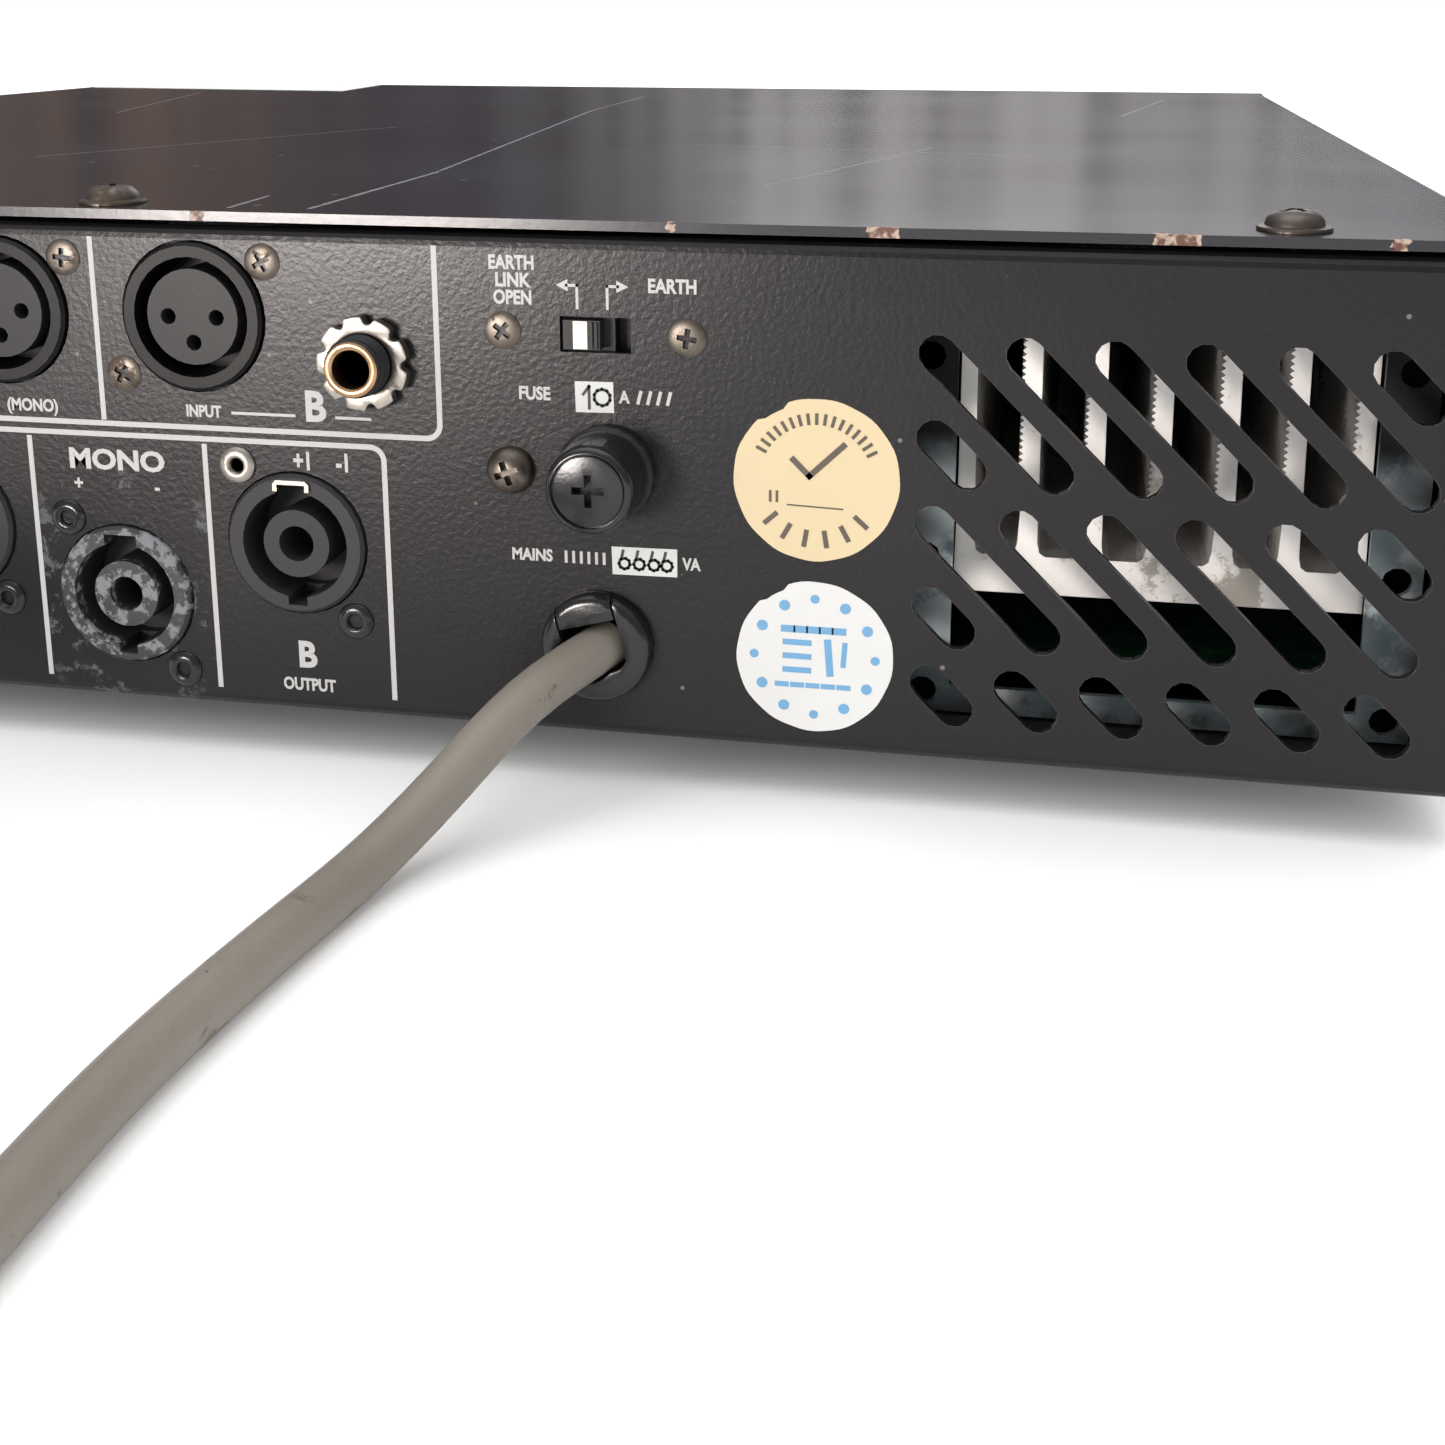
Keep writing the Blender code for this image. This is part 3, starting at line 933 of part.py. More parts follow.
def make_gain_controls():
    """Two gain knobs, each on the shaft of a potentiometer behind the front panel."""
    z = FOOT_HEIGHT + KNOB_Z
    for letter, x in zip("ba", KNOB_X):
        front = FRONT_BACK + GAP
        shaft_tip = FRONT_Y - KNOB_STANDOFF - KNOB_BORE_DEPTH + GAP * 3
        bush_tip = FRONT_Y - KNOB_STANDOFF + GAP
        profile = ((0, shaft_tip), (KNOB_SHAFT_RADIUS, shaft_tip), (KNOB_SHAFT_RADIUS, bush_tip),
                   (POT_BUSH_RADIUS, bush_tip), (POT_BUSH_RADIUS, front), (POT_RADIUS, front),
                   (POT_RADIUS, front + POT_DEPTH), (0, front + POT_DEPTH))
        mesh = bmesh.new()
        turned(mesh, profile, (x, 0, z), (0, 1, 0), SMALL_ROUND)
        finish("gain_control_" + letter, mesh, STEEL, 40)

        bore = KNOB_SHAFT_RADIUS + GAP
        sides = KNOB_FLUTES * 2
        outline = []
        for i in range(sides):
            radius = KNOB_RADIUS - KNOB_FLUTE_DEPTH * (i % 2)
            turn = 2 * math.pi * i / sides
            outline.append((radius * math.cos(turn), radius * math.sin(turn)))
        knob_mesh = bmesh.new()
        add_prism(knob_mesh, outline, "Y", -KNOB_LENGTH, 0)
        knob = finish("gain_knob_" + letter, knob_mesh, BLACK_PLASTIC, 30)
        knob.location = (x, FRONT_Y - KNOB_STANDOFF, z)
        hollow = bmesh.new()
        cylinder(hollow, bore, shaft_tip - 2 * GAP, FRONT_Y, (x, 0, z), (0, 1, 0), SMALL_ROUND)
        add_box(hollow, (x - 0.5 * MM, FRONT_Y - KNOB_STANDOFF - KNOB_LENGTH - 1 * MM, z + 4 * MM),
                (x + 0.5 * MM, FRONT_Y - KNOB_STANDOFF - KNOB_LENGTH + 0.6 * MM, z + KNOB_RADIUS + 1 * MM))
        cut(knob, hollow, "knob_bore_" + letter)


def make_power_switch():
    """Mains rocker in its frame. The rocker rests with its lower end pressed in: off."""
    x, z = ROCKER_X, FOOT_HEIGHT + ROCKER_Z
    width, height, depth = ROCKER_BODY
    mesh = bmesh.new()
    add_box(mesh, (x - width / 2, FRONT_Y - ROCKER_BEZEL_OUT / 2, z - height / 2),
            (x + width / 2, FRONT_Y + depth, z + height / 2))
    frame = finish("power_switch_frame", mesh, BLACK_PLASTIC)
    bezel = bmesh.new()
    add_box(bezel, (x - width / 2 - ROCKER_BEZEL_RIM, FRONT_Y - ROCKER_BEZEL_OUT,
                    z - height / 2 - ROCKER_BEZEL_RIM),
            (x + width / 2 + ROCKER_BEZEL_RIM, FRONT_Y - GAP, z + height / 2 + ROCKER_BEZEL_RIM))
    join(frame, bezel, "switch_bezel")
    half_width, half_height = ROCKER_SIZE[0] / 2, ROCKER_SIZE[1] / 2
    pocket = bmesh.new()
    add_box(pocket, (x - half_width - GAP, FRONT_Y - ROCKER_BEZEL_OUT - 1 * MM, z - half_height - 2 * MM),
            (x + half_width + GAP, FRONT_Y + ROCKER_POCKET_DEPTH, z + half_height + 2 * MM))
    cut(frame, pocket, "switch_front_pocket")

    heel, toe = 4.0 * MM, 3.0 * MM
    outline = ((heel, -toe), (heel, toe), (-toe, half_height), (-ROCKER_TIP, half_height),
               (-ROCKER_TIP + ROCKER_HOLLOW, 0), (-ROCKER_TIP, -half_height), (-toe, -half_height))
    mesh = bmesh.new()
    add_prism(mesh, outline, "X", -half_width, half_width)
    turn = Matrix.Rotation(ROCKER_SWING, 3, "X")
    bmesh.ops.rotate(mesh, verts=mesh.verts, cent=(0, 0, 0), matrix=turn)
    rocker = finish("power_rocker", mesh, BLACK_PLASTIC, 30)
    rocker.location = (x, FRONT_Y + ROCKER_PIVOT_DEPTH, z)


clear_scene()
HELPER = material("helper", (0.5, 0.5, 0.5), 0.5)
BLACK_PAINT = material("black_paint", (0.03, 0.028, 0.03), 0.45)
GLOSS_BLACK = material("gloss_black_paint", (0.022, 0.02, 0.024), 0.22)
BLACK_PLASTIC = material("black_plastic", (0.018, 0.018, 0.018), 0.5)
GLOSS_PLASTIC = material("gloss_plastic", (0.015, 0.015, 0.015), 0.3)
RUBBER = material("rubber", (0.02, 0.02, 0.02), 0.8)
STEEL = material("dark_steel", (0.2, 0.18, 0.17), 0.4, 1.0)
NICKEL = material("nickel", (0.72, 0.7, 0.66), 0.25, 1.0)
ALUMINIUM = material("aluminium", (0.8, 0.78, 0.74), 0.4, 1.0)
ZINC = material("zinc", (0.45, 0.48, 0.5), 0.45, 1.0)
CORD_GREY = material("cord_grey", (0.4, 0.37, 0.33), 0.6)
BOARD_GREEN = material("board_green", (0.02, 0.15, 0.06), 0.4)
TAPE_YELLOW = material("tape_yellow", (0.6, 0.42, 0.08), 0.45)
SLEEVE_BLUE = material("sleeve_blue", (0.03, 0.05, 0.2), 0.35)

make_rear_panel()
make_cover()
make_plates()
make_feet()
make_cover_screws()
make_earth_screw()
make_xlr_sockets()
make_speaker_sockets()
make_jacks()
make_ground_switch()
make_fuse()
make_strain_relief()
make_mains_lead()
make_heat_sinks()
make_ducts()
make_fans()
make_power_supply()
make_front_panel()
make_gain_controls()
make_power_switch()
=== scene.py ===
# %% [markdown]
# # A two-channel power amplifier, seen from its rear panel
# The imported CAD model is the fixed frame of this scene. It already holds the casing, the connectors, the moving
# parts and the insides. This lesson gives every part a finish and adds the fine pieces that CAD leaves out:
# printed lines, small screws, labels, toothed heat sinks and the real mains lead. Everything is in metres.
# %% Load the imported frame
import json
import math

import bpy
import numpy as np
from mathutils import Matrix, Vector

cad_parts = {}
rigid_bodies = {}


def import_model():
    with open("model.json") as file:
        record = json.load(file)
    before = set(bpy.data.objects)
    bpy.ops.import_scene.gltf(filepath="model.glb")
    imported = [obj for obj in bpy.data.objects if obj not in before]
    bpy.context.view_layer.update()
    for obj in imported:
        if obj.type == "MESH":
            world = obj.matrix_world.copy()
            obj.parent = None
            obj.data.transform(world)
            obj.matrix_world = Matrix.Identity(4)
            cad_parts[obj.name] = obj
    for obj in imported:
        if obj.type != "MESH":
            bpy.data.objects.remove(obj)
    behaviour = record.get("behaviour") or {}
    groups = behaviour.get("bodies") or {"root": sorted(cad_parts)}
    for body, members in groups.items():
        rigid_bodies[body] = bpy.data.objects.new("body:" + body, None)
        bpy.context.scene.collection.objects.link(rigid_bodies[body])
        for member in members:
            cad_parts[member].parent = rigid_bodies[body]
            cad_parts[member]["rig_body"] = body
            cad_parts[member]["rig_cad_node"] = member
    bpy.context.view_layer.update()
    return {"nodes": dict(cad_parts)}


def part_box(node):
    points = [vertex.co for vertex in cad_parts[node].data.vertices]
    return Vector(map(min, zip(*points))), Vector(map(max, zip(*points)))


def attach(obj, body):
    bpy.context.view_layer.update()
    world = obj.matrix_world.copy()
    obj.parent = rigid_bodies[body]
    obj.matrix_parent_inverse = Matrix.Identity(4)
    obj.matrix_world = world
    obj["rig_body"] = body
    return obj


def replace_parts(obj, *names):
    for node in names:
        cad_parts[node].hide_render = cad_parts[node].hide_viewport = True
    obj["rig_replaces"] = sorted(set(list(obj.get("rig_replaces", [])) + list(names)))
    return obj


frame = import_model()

nodes = frame["nodes"]
MM = 0.001
panel_low, panel_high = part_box("rear_panel")
cover_low, cover_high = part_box("top_cover")
front_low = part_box("front_panel")[0]
REAR_Y = panel_high.y
FRONT_Y = front_low.y
PANEL_FOOT = panel_low.z
COVER_TOP = cover_high.z
bridge_low, bridge_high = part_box("bridge_socket")
print("casing", [round(v / MM, 1) for v in (cover_high - cover_low)], "mm, rear face at", round(REAR_Y / MM, 2))

# %% [markdown]
# ## Camera
# The camera stands behind the amplifier, a little to its right and above its top, and looks down at the
# connectors. Its lens is shifted downwards, as on a tilt-shift camera, so that the lead has room below the casing.
# %% Camera
camera_data = bpy.data.cameras.new("rear_camera")
camera_data.sensor_width = 36.0
camera_data.lens = 45.10
camera_data.shift_y = -0.1886
camera_data.clip_start = 0.01
camera = bpy.data.objects.new("rear_camera", camera_data)
camera.location = (-0.15002, REAR_Y + 0.25517, 0.11951)
camera.rotation_euler = (1.32700, -0.00038, 3.33616)
bpy.context.collection.objects.link(camera)
bpy.context.scene.camera = camera
print("camera", [round(v, 3) for v in camera.location], "lens", round(camera_data.lens, 2))

# %% [markdown]
# ## Helpers for modelling
# An operator acts on whatever is selected, and the frame arrives selected, so everything is let go first.
# Each finished piece has its place inside its own mesh, with its object at the origin, like the CAD parts.
# %% Modelling helpers
REAR_TURN = (math.pi / 2, 0.0, math.pi)     # lies on the rear panel, seen from behind
FRONT_TURN = (math.pi / 2, 0.0, 0.0)        # lies on the front panel, seen from in front


def let_go():
    bpy.ops.object.select_all(action="DESELECT")


def pick(piece):
    """Select one piece alone, and make it the active one."""
    let_go()
    piece.select_set(True)
    bpy.context.view_layer.objects.active = piece


def edit(piece):
    pick(piece)
    bpy.ops.object.mode_set(mode="EDIT")
    bpy.ops.mesh.select_mode(type="FACE")
    bpy.ops.mesh.select_all(action="SELECT")


def leave(outward=False):
    if outward:
        bpy.ops.mesh.select_all(action="SELECT")
        bpy.ops.mesh.normals_make_consistent(inside=False)
    bpy.ops.object.mode_set(mode="OBJECT")


def put(piece, place=(0, 0, 0), turn=(0, 0, 0)):
    """Set a piece in its place, and move that place into its mesh."""
    pick(piece)
    piece.location = place
    piece.rotation_euler = turn
    bpy.ops.object.transform_apply(location=True, rotation=True, scale=True)
    return piece


def cut_out(name, outline, depth, place=(0, 0, 0), turn=(0, 0, 0)):
    """A plate cut to an outline in its own X and Y, and as deep as depth along its own Z."""
    let_go()
    bpy.ops.mesh.primitive_circle_add(vertices=len(outline), radius=MM, fill_type="NGON")
    piece = bpy.context.object
    piece.name = name
    for vertex, (across, up) in zip(piece.data.vertices, outline):
        vertex.co = (across, up, 0)
    edit(piece)
    bpy.ops.mesh.extrude_region_move(TRANSFORM_OT_translate={"value": (0, 0, depth)})
    leave(outward=True)
    return put(piece, place, turn)


def turned(name, steps, sides, place=(0, 0, 0), turn=(0, 0, 0)):
    """A turned piece: a disc, extruded and scaled from step to step of (radius, height)."""
    let_go()
    radius, height = steps[0]
    bpy.ops.mesh.primitive_circle_add(vertices=sides, radius=radius, fill_type="NGON", location=(0, 0, height))
    piece = bpy.context.object
    piece.name = name
    bpy.ops.object.transform_apply(location=True)
    edit(piece)
    for next_radius, next_height in steps[1:]:
        bpy.ops.mesh.extrude_region_move(TRANSFORM_OT_translate={"value": (0, 0, next_height - height)})
        bpy.ops.transform.resize(value=(next_radius / radius, next_radius / radius, 1.0),
                                 center_override=(0, 0, next_height))
        radius, height = next_radius, next_height
    leave(outward=True)
    return put(piece, place, turn)


def apply_all(piece):
    pick(piece)
    for modifier in list(piece.modifiers):
        bpy.ops.object.modifier_apply(modifier=modifier.name)
    return piece


def carve(piece, tool):
    """Cut the tool's shape out of a piece, and remove the tool."""
    hole = piece.modifiers.new("carve", "BOOLEAN")
    hole.operation = "DIFFERENCE"
    hole.solver = "EXACT"
    hole.object = tool
    apply_all(piece)
    bpy.data.objects.remove(tool, do_unlink=True)
    return piece


def soften(piece, width, segments=2, angle=30, rim_slot=-1):
    """Round the sharp edges of a piece; the rounding may have its own finish."""
    rounding = piece.modifiers.new("soften", "BEVEL")
    rounding.width = width
    rounding.segments = segments
    rounding.material = rim_slot
    rounding.limit_method = "ANGLE"
    rounding.angle_limit = math.radians(angle)
    return apply_all(piece)


def smooth(piece, angle=40):
    pick(piece)
    bpy.ops.object.shade_smooth_by_angle(angle=math.radians(angle))
    return piece


def joined(name, parts):
    let_go()
    for part in parts:
        part.select_set(True)
    bpy.context.view_layer.objects.active = parts[0]
    bpy.ops.object.join()
    parts[0].name = name
    return parts[0]


def finished(piece, finish, body="chassis"):
    """Give a piece its finish, and let it move with its CAD body."""
    piece.data.materials.clear()
    piece.data.materials.append(finish)
    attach(piece, body)
    return piece


def bar(start, end, width):
    """Outline of a straight bar between two points."""
    along = (Vector(end) - Vector(start)).normalized() * width / 2
    side = Vector((-along.y, along.x))
    return [tuple(Vector(start) - along + side), tuple(Vector(start) - along - side),
            tuple(Vector(end) + along - side), tuple(Vector(end) + along + side)]


def arc(centre, radius, first, last, count):
    """Points along an arc, from first to last in degrees."""
    angles = [math.radians(first + (last - first) * i / count) for i in range(count + 1)]
    return [(centre[0] + radius * math.cos(a), centre[1] + radius * math.sin(a)) for a in angles]


def band(centre, inner, outer, first, last, count):
    """Outline of a curved bar."""
    return arc(centre, outer, first, last, count) + arc(centre, inner, last, first, count)


print("helpers ready")

# %% [markdown]
# ## Helpers for finishes
# A finish is a small network of nodes. Effects that several finishes share, such as fine grain or dust, are node
# groups, built once. Each finish places the group and gives it its own values.
# %% Node helpers


def fill(socket, value):
    """Give an input a link from another node, or a plain value."""
    if isinstance(value, bpy.types.NodeSocket):
        socket.id_data.links.new(value, socket)
    elif socket.type == "RGBA" and len(value) == 3:
        socket.default_value = (*value, 1.0)
    else:
        socket.default_value = value


def add(tree, kind, settings=None, **inputs):
    """Add a node, set its properties, and fill its inputs. An input may be named, or numbered as in0 or in1."""
    made = tree.nodes.new(kind)
    for name, value in (settings or {}).items():
        setattr(made, name, value)
    for key, value in inputs.items():
        numbered = key.startswith("in") and key[2:].isdigit()
        fill(made.inputs[int(key[2:]) if numbered else key.replace("_", " ")], value)
    return made


def maths(operation, first, second=0.0, clamp=False):
    """Work on two values, in the tree that the linked one belongs to."""
    tree = next(v.id_data for v in (first, second) if isinstance(v, bpy.types.NodeSocket))
    return add(tree, "ShaderNodeMath", {"operation": operation, "use_clamp": clamp}, in0=first, in1=second).outputs[0]


def times(first, second, clamp=False):
    return maths("MULTIPLY", first, second, clamp)


def plus(first, second):
    return maths("ADD", first, second)


def minus(first, second):
    return maths("SUBTRACT", first, second)


def vector_maths(operation, first, second, output="Vector"):
    return add(first.id_data, "ShaderNodeVectorMath", {"operation": operation}, in0=first, in1=second).outputs[output]


def axis(vector, number):
    """One number of a vector: 0, 1 and 2 are X, Y and Z."""
    return add(vector.id_data, "ShaderNodeSeparateXYZ", Vector=vector).outputs[number]


def noise(where, scale, detail=2.0):
    return add(where.id_data, "ShaderNodeTexNoise", Vector=where, Scale=scale, Detail=detail).outputs[0]


def ramp(value, low, high):
    """0 below low, 1 above high, and smooth between them."""
    return add(value.id_data, "ShaderNodeMapRange", {"interpolation_type": "SMOOTHSTEP"}, Value=value,
               From_Min=low, From_Max=high).outputs[0]


def blend(factor, first, second):
    """Mix two colours. A mix node keeps its colours at inputs 6 and 7, and their result at output 2."""
    return add(factor.id_data, "ShaderNodeMix", {"data_type": "RGBA"}, in0=factor, in6=first, in7=second).outputs[2]


def effect(name, inputs, outputs):
    """An empty node group with named inputs of (name, kind, value) and named float outputs."""
    group = bpy.data.node_groups.new(name, "ShaderNodeTree")
    for label, kind, value in inputs:
        socket = group.interface.new_socket(name=label, in_out="INPUT", socket_type="NodeSocket" + kind)
        if value is not None:
            socket.default_value = value
    for label in outputs:
        group.interface.new_socket(name=label, in_out="OUTPUT", socket_type="NodeSocketFloat")
    return group, group.nodes.new("NodeGroupInput").outputs, group.nodes.new("NodeGroupOutput").inputs


def placed(group, where, **inputs):
    """Use an effect in a finish, and give it its own values."""
    return add(where.id_data, "ShaderNodeGroup", {"node_tree": group}, Vector=where, **inputs).outputs


def new_finish(name, roughness=0.5, metallic=0.0, **settings):
    """A new finish: its tree, its shader, and the place on the piece that patterns follow."""
    made = bpy.data.materials.new(name)
    made.use_nodes = True
    tree = made.node_tree
    shader = tree.nodes["Principled BSDF"]
    shader.inputs["Roughness"].default_value = roughness
    shader.inputs["Metallic"].default_value = metallic
    for key, value in settings.items():
        shader.inputs[key.replace("_", " ")].default_value = value
    where = tree.nodes.new("ShaderNodeTexCoord").outputs["Object"]
    return made, tree, shader, where


def bump(tree, shader, height, distance, strength=1.0):
    """Raise the surface by a height from 0 to 1 times a distance."""
    made = add(tree, "ShaderNodeBump", Height=height, Distance=distance, Strength=strength)
    fill(shader.inputs["Normal"], made.outputs[0])


print("node helpers ready")

# %% [markdown]
# ## Shared effects
# Four effects come back on many parts of a used amplifier. Grain is the fine unevenness of paint and moulded
# plastic. Specks are dust and tiny nicks. Scuffs are rubbed patches, drawn out one way. A scratch is one long line.
# %% Effect groups
grain_group, given, result = effect("surface_grain", [("Vector", "Vector", None), ("Size", "Float", 0.0006)],
                                    ["Height", "Variation"])
grain_scale = maths("DIVIDE", 1.0, given["Size"])
fine = add(grain_group, "ShaderNodeTexNoise", Vector=given["Vector"], Scale=grain_scale, Detail=2.0)
broad = add(grain_group, "ShaderNodeTexNoise", Vector=given["Vector"],
            Scale=times(grain_scale, 0.02), Detail=4.0)
fill(result["Height"], fine.outputs[0])
fill(result["Variation"], broad.outputs[0])

speck_group, given, result = effect("dust_specks", [("Vector", "Vector", None), ("Size", "Float", 0.002),
                                                    ("Amount", "Float", 0.2)], ["Mask"])
speck_scale = maths("DIVIDE", 1.0, given["Size"])
cells = add(speck_group, "ShaderNodeTexVoronoi", Vector=given["Vector"], Scale=speck_scale)
near = ramp(cells.outputs["Distance"], 0.13, 0.07)
chosen = add(speck_group, "ShaderNodeSeparateColor", Color=cells.outputs["Color"]).outputs[0]
fill(result["Mask"], times(near, maths("LESS_THAN", chosen, given["Amount"])))

scuff_group, given, result = effect("rubbed_scuffs", [("Vector", "Vector", None), ("Stretch", "Vector", (1, 1, 1)),
                                                      ("Size", "Float", 0.01), ("Amount", "Float", 0.3)], ["Mask"])
pulled = vector_maths("MULTIPLY", given["Vector"], given["Stretch"])
scuff_scale = maths("DIVIDE", 1.0, given["Size"])
streaks = add(scuff_group, "ShaderNodeTexNoise", Vector=pulled, Scale=scuff_scale, Detail=6.0, Roughness=0.75)
patches = add(scuff_group, "ShaderNodeTexNoise", Vector=given["Vector"],
              Scale=times(scuff_scale, 0.35), Detail=2.0)
limit = minus(0.78, times(given["Amount"], 0.4))
both = times(plus(streaks.outputs[0], patches.outputs[0]), 0.5)
fill(result["Mask"], ramp(both, limit, plus(limit, 0.06)))

scratch_group, given, result = effect("one_scratch", [("Vector", "Vector", None), ("Start", "Vector", (0, 0, 0)),
                                                      ("Heading", "Vector", (1, 0, 0)), ("Length", "Float", 0.1),
                                                      ("Width", "Float", 0.0004)], ["Mask"])
offset = vector_maths("SUBTRACT", given["Vector"], given["Start"])
along = vector_maths("DOT_PRODUCT", offset, given["Heading"], "Value")
square = vector_maths("DOT_PRODUCT", offset, offset, "Value")
away = maths("SQRT", maths("MAXIMUM", minus(square, times(along, along)), 0.0))
wobble = add(scratch_group, "ShaderNodeTexNoise", Vector=given["Vector"], Scale=260.0, Detail=2.0).outputs[0]
thin = maths("LESS_THAN", away, times(given["Width"], wobble))
inside = times(maths("GREATER_THAN", along, 0.0),
               maths("LESS_THAN", along, given["Length"]))
fill(result["Mask"], times(thin, inside))
print("effects", [g.name for g in bpy.data.node_groups])

# %% [markdown]
# ## Paint
# The rear panel, front panel and inner plates carry a satin black paint with a slight orange peel. Rubbed places
# turn grey, and tiny nicks show pale primer. The cover has the same paint, but glossier, with long scratches, and
# bare metal where its rear edge was knocked.
# %% Satin black paint


def satin_black(name, tint=(0.0085, 0.0072, 0.0082)):
    made, tree, shader, where = new_finish(name, Specular_IOR_Level=0.30)
    grain = placed(grain_group, where, Size=0.0009)
    rub = placed(scuff_group, where, Stretch=(1.0, 1.0, 4.0), Size=0.012, Amount=0.10)[0]
    nick = placed(speck_group, where, Size=0.0036, Amount=0.05)[0]
    height = axis(where, 2)
    upper = ramp(height, PANEL_FOOT + 70 * MM, PANEL_FOOT + 77 * MM)
    worn = times(rub, plus(times(upper, 0.5), 0.12), clamp=True)
    shade = blend(grain["Variation"], tint, tuple(1.5 * c for c in tint))
    shade = blend(worn, shade, (0.16, 0.15, 0.15))
    spot = (bridge_low + bridge_high) / 2
    from_bridge = vector_maths("DISTANCE", where, (spot.x, REAR_Y, spot.z + 1 * MM), "Value")
    flaked = placed(scuff_group, where, Size=0.0018, Amount=0.58)[0]
    flaked = times(flaked, ramp(from_bridge, 24 * MM, 16 * MM))
    aside = maths("ABSOLUTE", minus(axis(where, 0), spot.x))
    flaked = times(flaked, ramp(aside, 16 * MM, 14 * MM))
    shade = blend(times(flaked, 0.7), shade, (0.16, 0.16, 0.165))
    shade = blend(times(nick, 0.55), shade, (0.30, 0.28, 0.26))
    fill(shader.inputs["Base Color"], shade)
    gloss = plus(times(grain["Variation"], 0.16),
                  times(worn, 0.25))
    fill(shader.inputs["Roughness"], plus(gloss, 0.24))
    bump(tree, shader, grain["Height"], 0.00008, 0.7)
    return made


black_paint = satin_black("satin_black_paint")
# The rims take a lighter grey paint: a painted highlight that stands in for the lit edges of the slots.
highlight_rim_paint = satin_black("painted_highlight_rim_paint", (0.24, 0.23, 0.23))
print("finishes", black_paint.name, highlight_rim_paint.name)

# %% Gloss black paint of the cover
gloss_black, tree, shader, where = new_finish("gloss_black_paint", Specular_IOR_Level=0.5)
grain = placed(grain_group, where, Size=0.0016)
rub = placed(scuff_group, where, Stretch=(1.0, 0.12, 1.0), Size=0.02, Amount=0.20)[0]
dust = placed(speck_group, where, Size=0.006, Amount=0.12)[0]
axes = add(tree, "ShaderNodeSeparateXYZ", Vector=where).outputs
marks = None
for start_x, start_y, end_x, end_y, width in (
        (-33.7, 198.0, -32.1, 137.0, 0.8), (-32.1, 137.0, -10.0, -54.6, 0.6), (-10.0, -54.6, -6.2, -136.4, 0.5),
        (-20.9, 199.2, -19.5, 181.4, 0.7), (-96.0, 150.0, -118.0, 60.0, 0.35), (60.0, 120.0, 20.0, 20.0, 0.35),
        (-150.0, 80.0, -60.0, 60.0, 0.3), (120.0, -20.0, 150.0, -130.0, 0.4), (-160.0, -60.0, -175.0, -150.0, 0.4)):
    start = Vector((start_x * MM, start_y * MM, COVER_TOP))
    reach = Vector((end_x * MM, end_y * MM, COVER_TOP)) - start
    line = placed(scratch_group, where, Start=start, Heading=reach.normalized(),
                  Length=reach.length, Width=width * MM)[0]
    marks = line if marks is None else maths("MAXIMUM", marks, line)
chipped = None
for chip_x, half in ((-18.3, 1.2), (-122.8, 2.2), (-163.3, 3.0), (-192.4, 1.0), (-92.0, 0.5), (95.0, 2.0)):
    near_chip = minus(half * MM, maths("ABSOLUTE", minus(axes[0],
                                                                                  chip_x * MM)))
    chipped = near_chip if chipped is None else maths("MAXIMUM", chipped, near_chip)
ragged = noise(where, 900.0, 4.0)
at_edge = maths("GREATER_THAN", axes[1], minus(REAR_Y, times(ragged,
                                                                                       1.7 * MM)))
chip = times(maths("GREATER_THAN", plus(chipped, times(minus(ragged, 0.5), 2.5 * MM)), 0.0), at_edge)
shade = blend(grain["Variation"], (0.010, 0.009, 0.012), (0.022, 0.020, 0.025))
shade = blend(times(rub, 0.25), shade, (0.10, 0.10, 0.11))
shade = blend(times(dust, 0.5), shade, (0.28, 0.27, 0.27))
shade = blend(times(marks, 0.55), shade, (0.30, 0.30, 0.31))
bare = blend(ramp(ragged, 0.42, 0.62), (0.13, 0.045, 0.025), (0.50, 0.37, 0.29))
shade = blend(chip, shade, bare)
fill(shader.inputs["Base Color"], shade)
gloss = plus(times(grain["Variation"], 0.10), times(rub, 0.22))
gloss = plus(gloss, times(maths("MAXIMUM", marks, chip), 0.3))
fill(shader.inputs["Roughness"], plus(gloss, 0.17))
bump(tree, shader, grain["Height"], 0.00004, 0.4)
print("finish", gloss_black.name)

# %% [markdown]
# ## Plastics, rubber and metals
# Moulded plastic is black too, but smoother than the paint in some places and duller in others, and it collects
# dust. Metals differ by their colour, by how sharply they reflect, and by how they tarnish.
# %% Plastics and rubber


def moulded(name, tint, roughness, dust=0.1, grain_size=0.0005, depth=0.00003, specular=0.5,
            dust_tint=(0.2, 0.19, 0.18), dirt_size=0.006, dirt=0.35, face_only=False):
    made, tree, shader, where = new_finish(name, Specular_IOR_Level=specular)
    grain = placed(grain_group, where, Size=grain_size)
    film = placed(scuff_group, where, Size=dirt_size, Amount=dirt)[0]
    speck = placed(speck_group, where, Size=0.003, Amount=0.15)[0]
    grime = times(maths("MAXIMUM", film, speck), dust)
    if face_only:
        outward = axis(where, 1)
        grime = times(grime, ramp(outward, REAR_Y - 1.6 * MM, REAR_Y - 0.4 * MM))
    shade = blend(grain["Variation"], tint, tuple(1.6 * c for c in tint))
    fill(shader.inputs["Base Color"], blend(grime, shade, dust_tint))
    gloss = plus(times(grain["Variation"], 0.15), roughness)
    fill(shader.inputs["Roughness"], plus(gloss, times(grime, 0.5)))
    bump(tree, shader, grain["Height"], depth, 0.6)
    return made


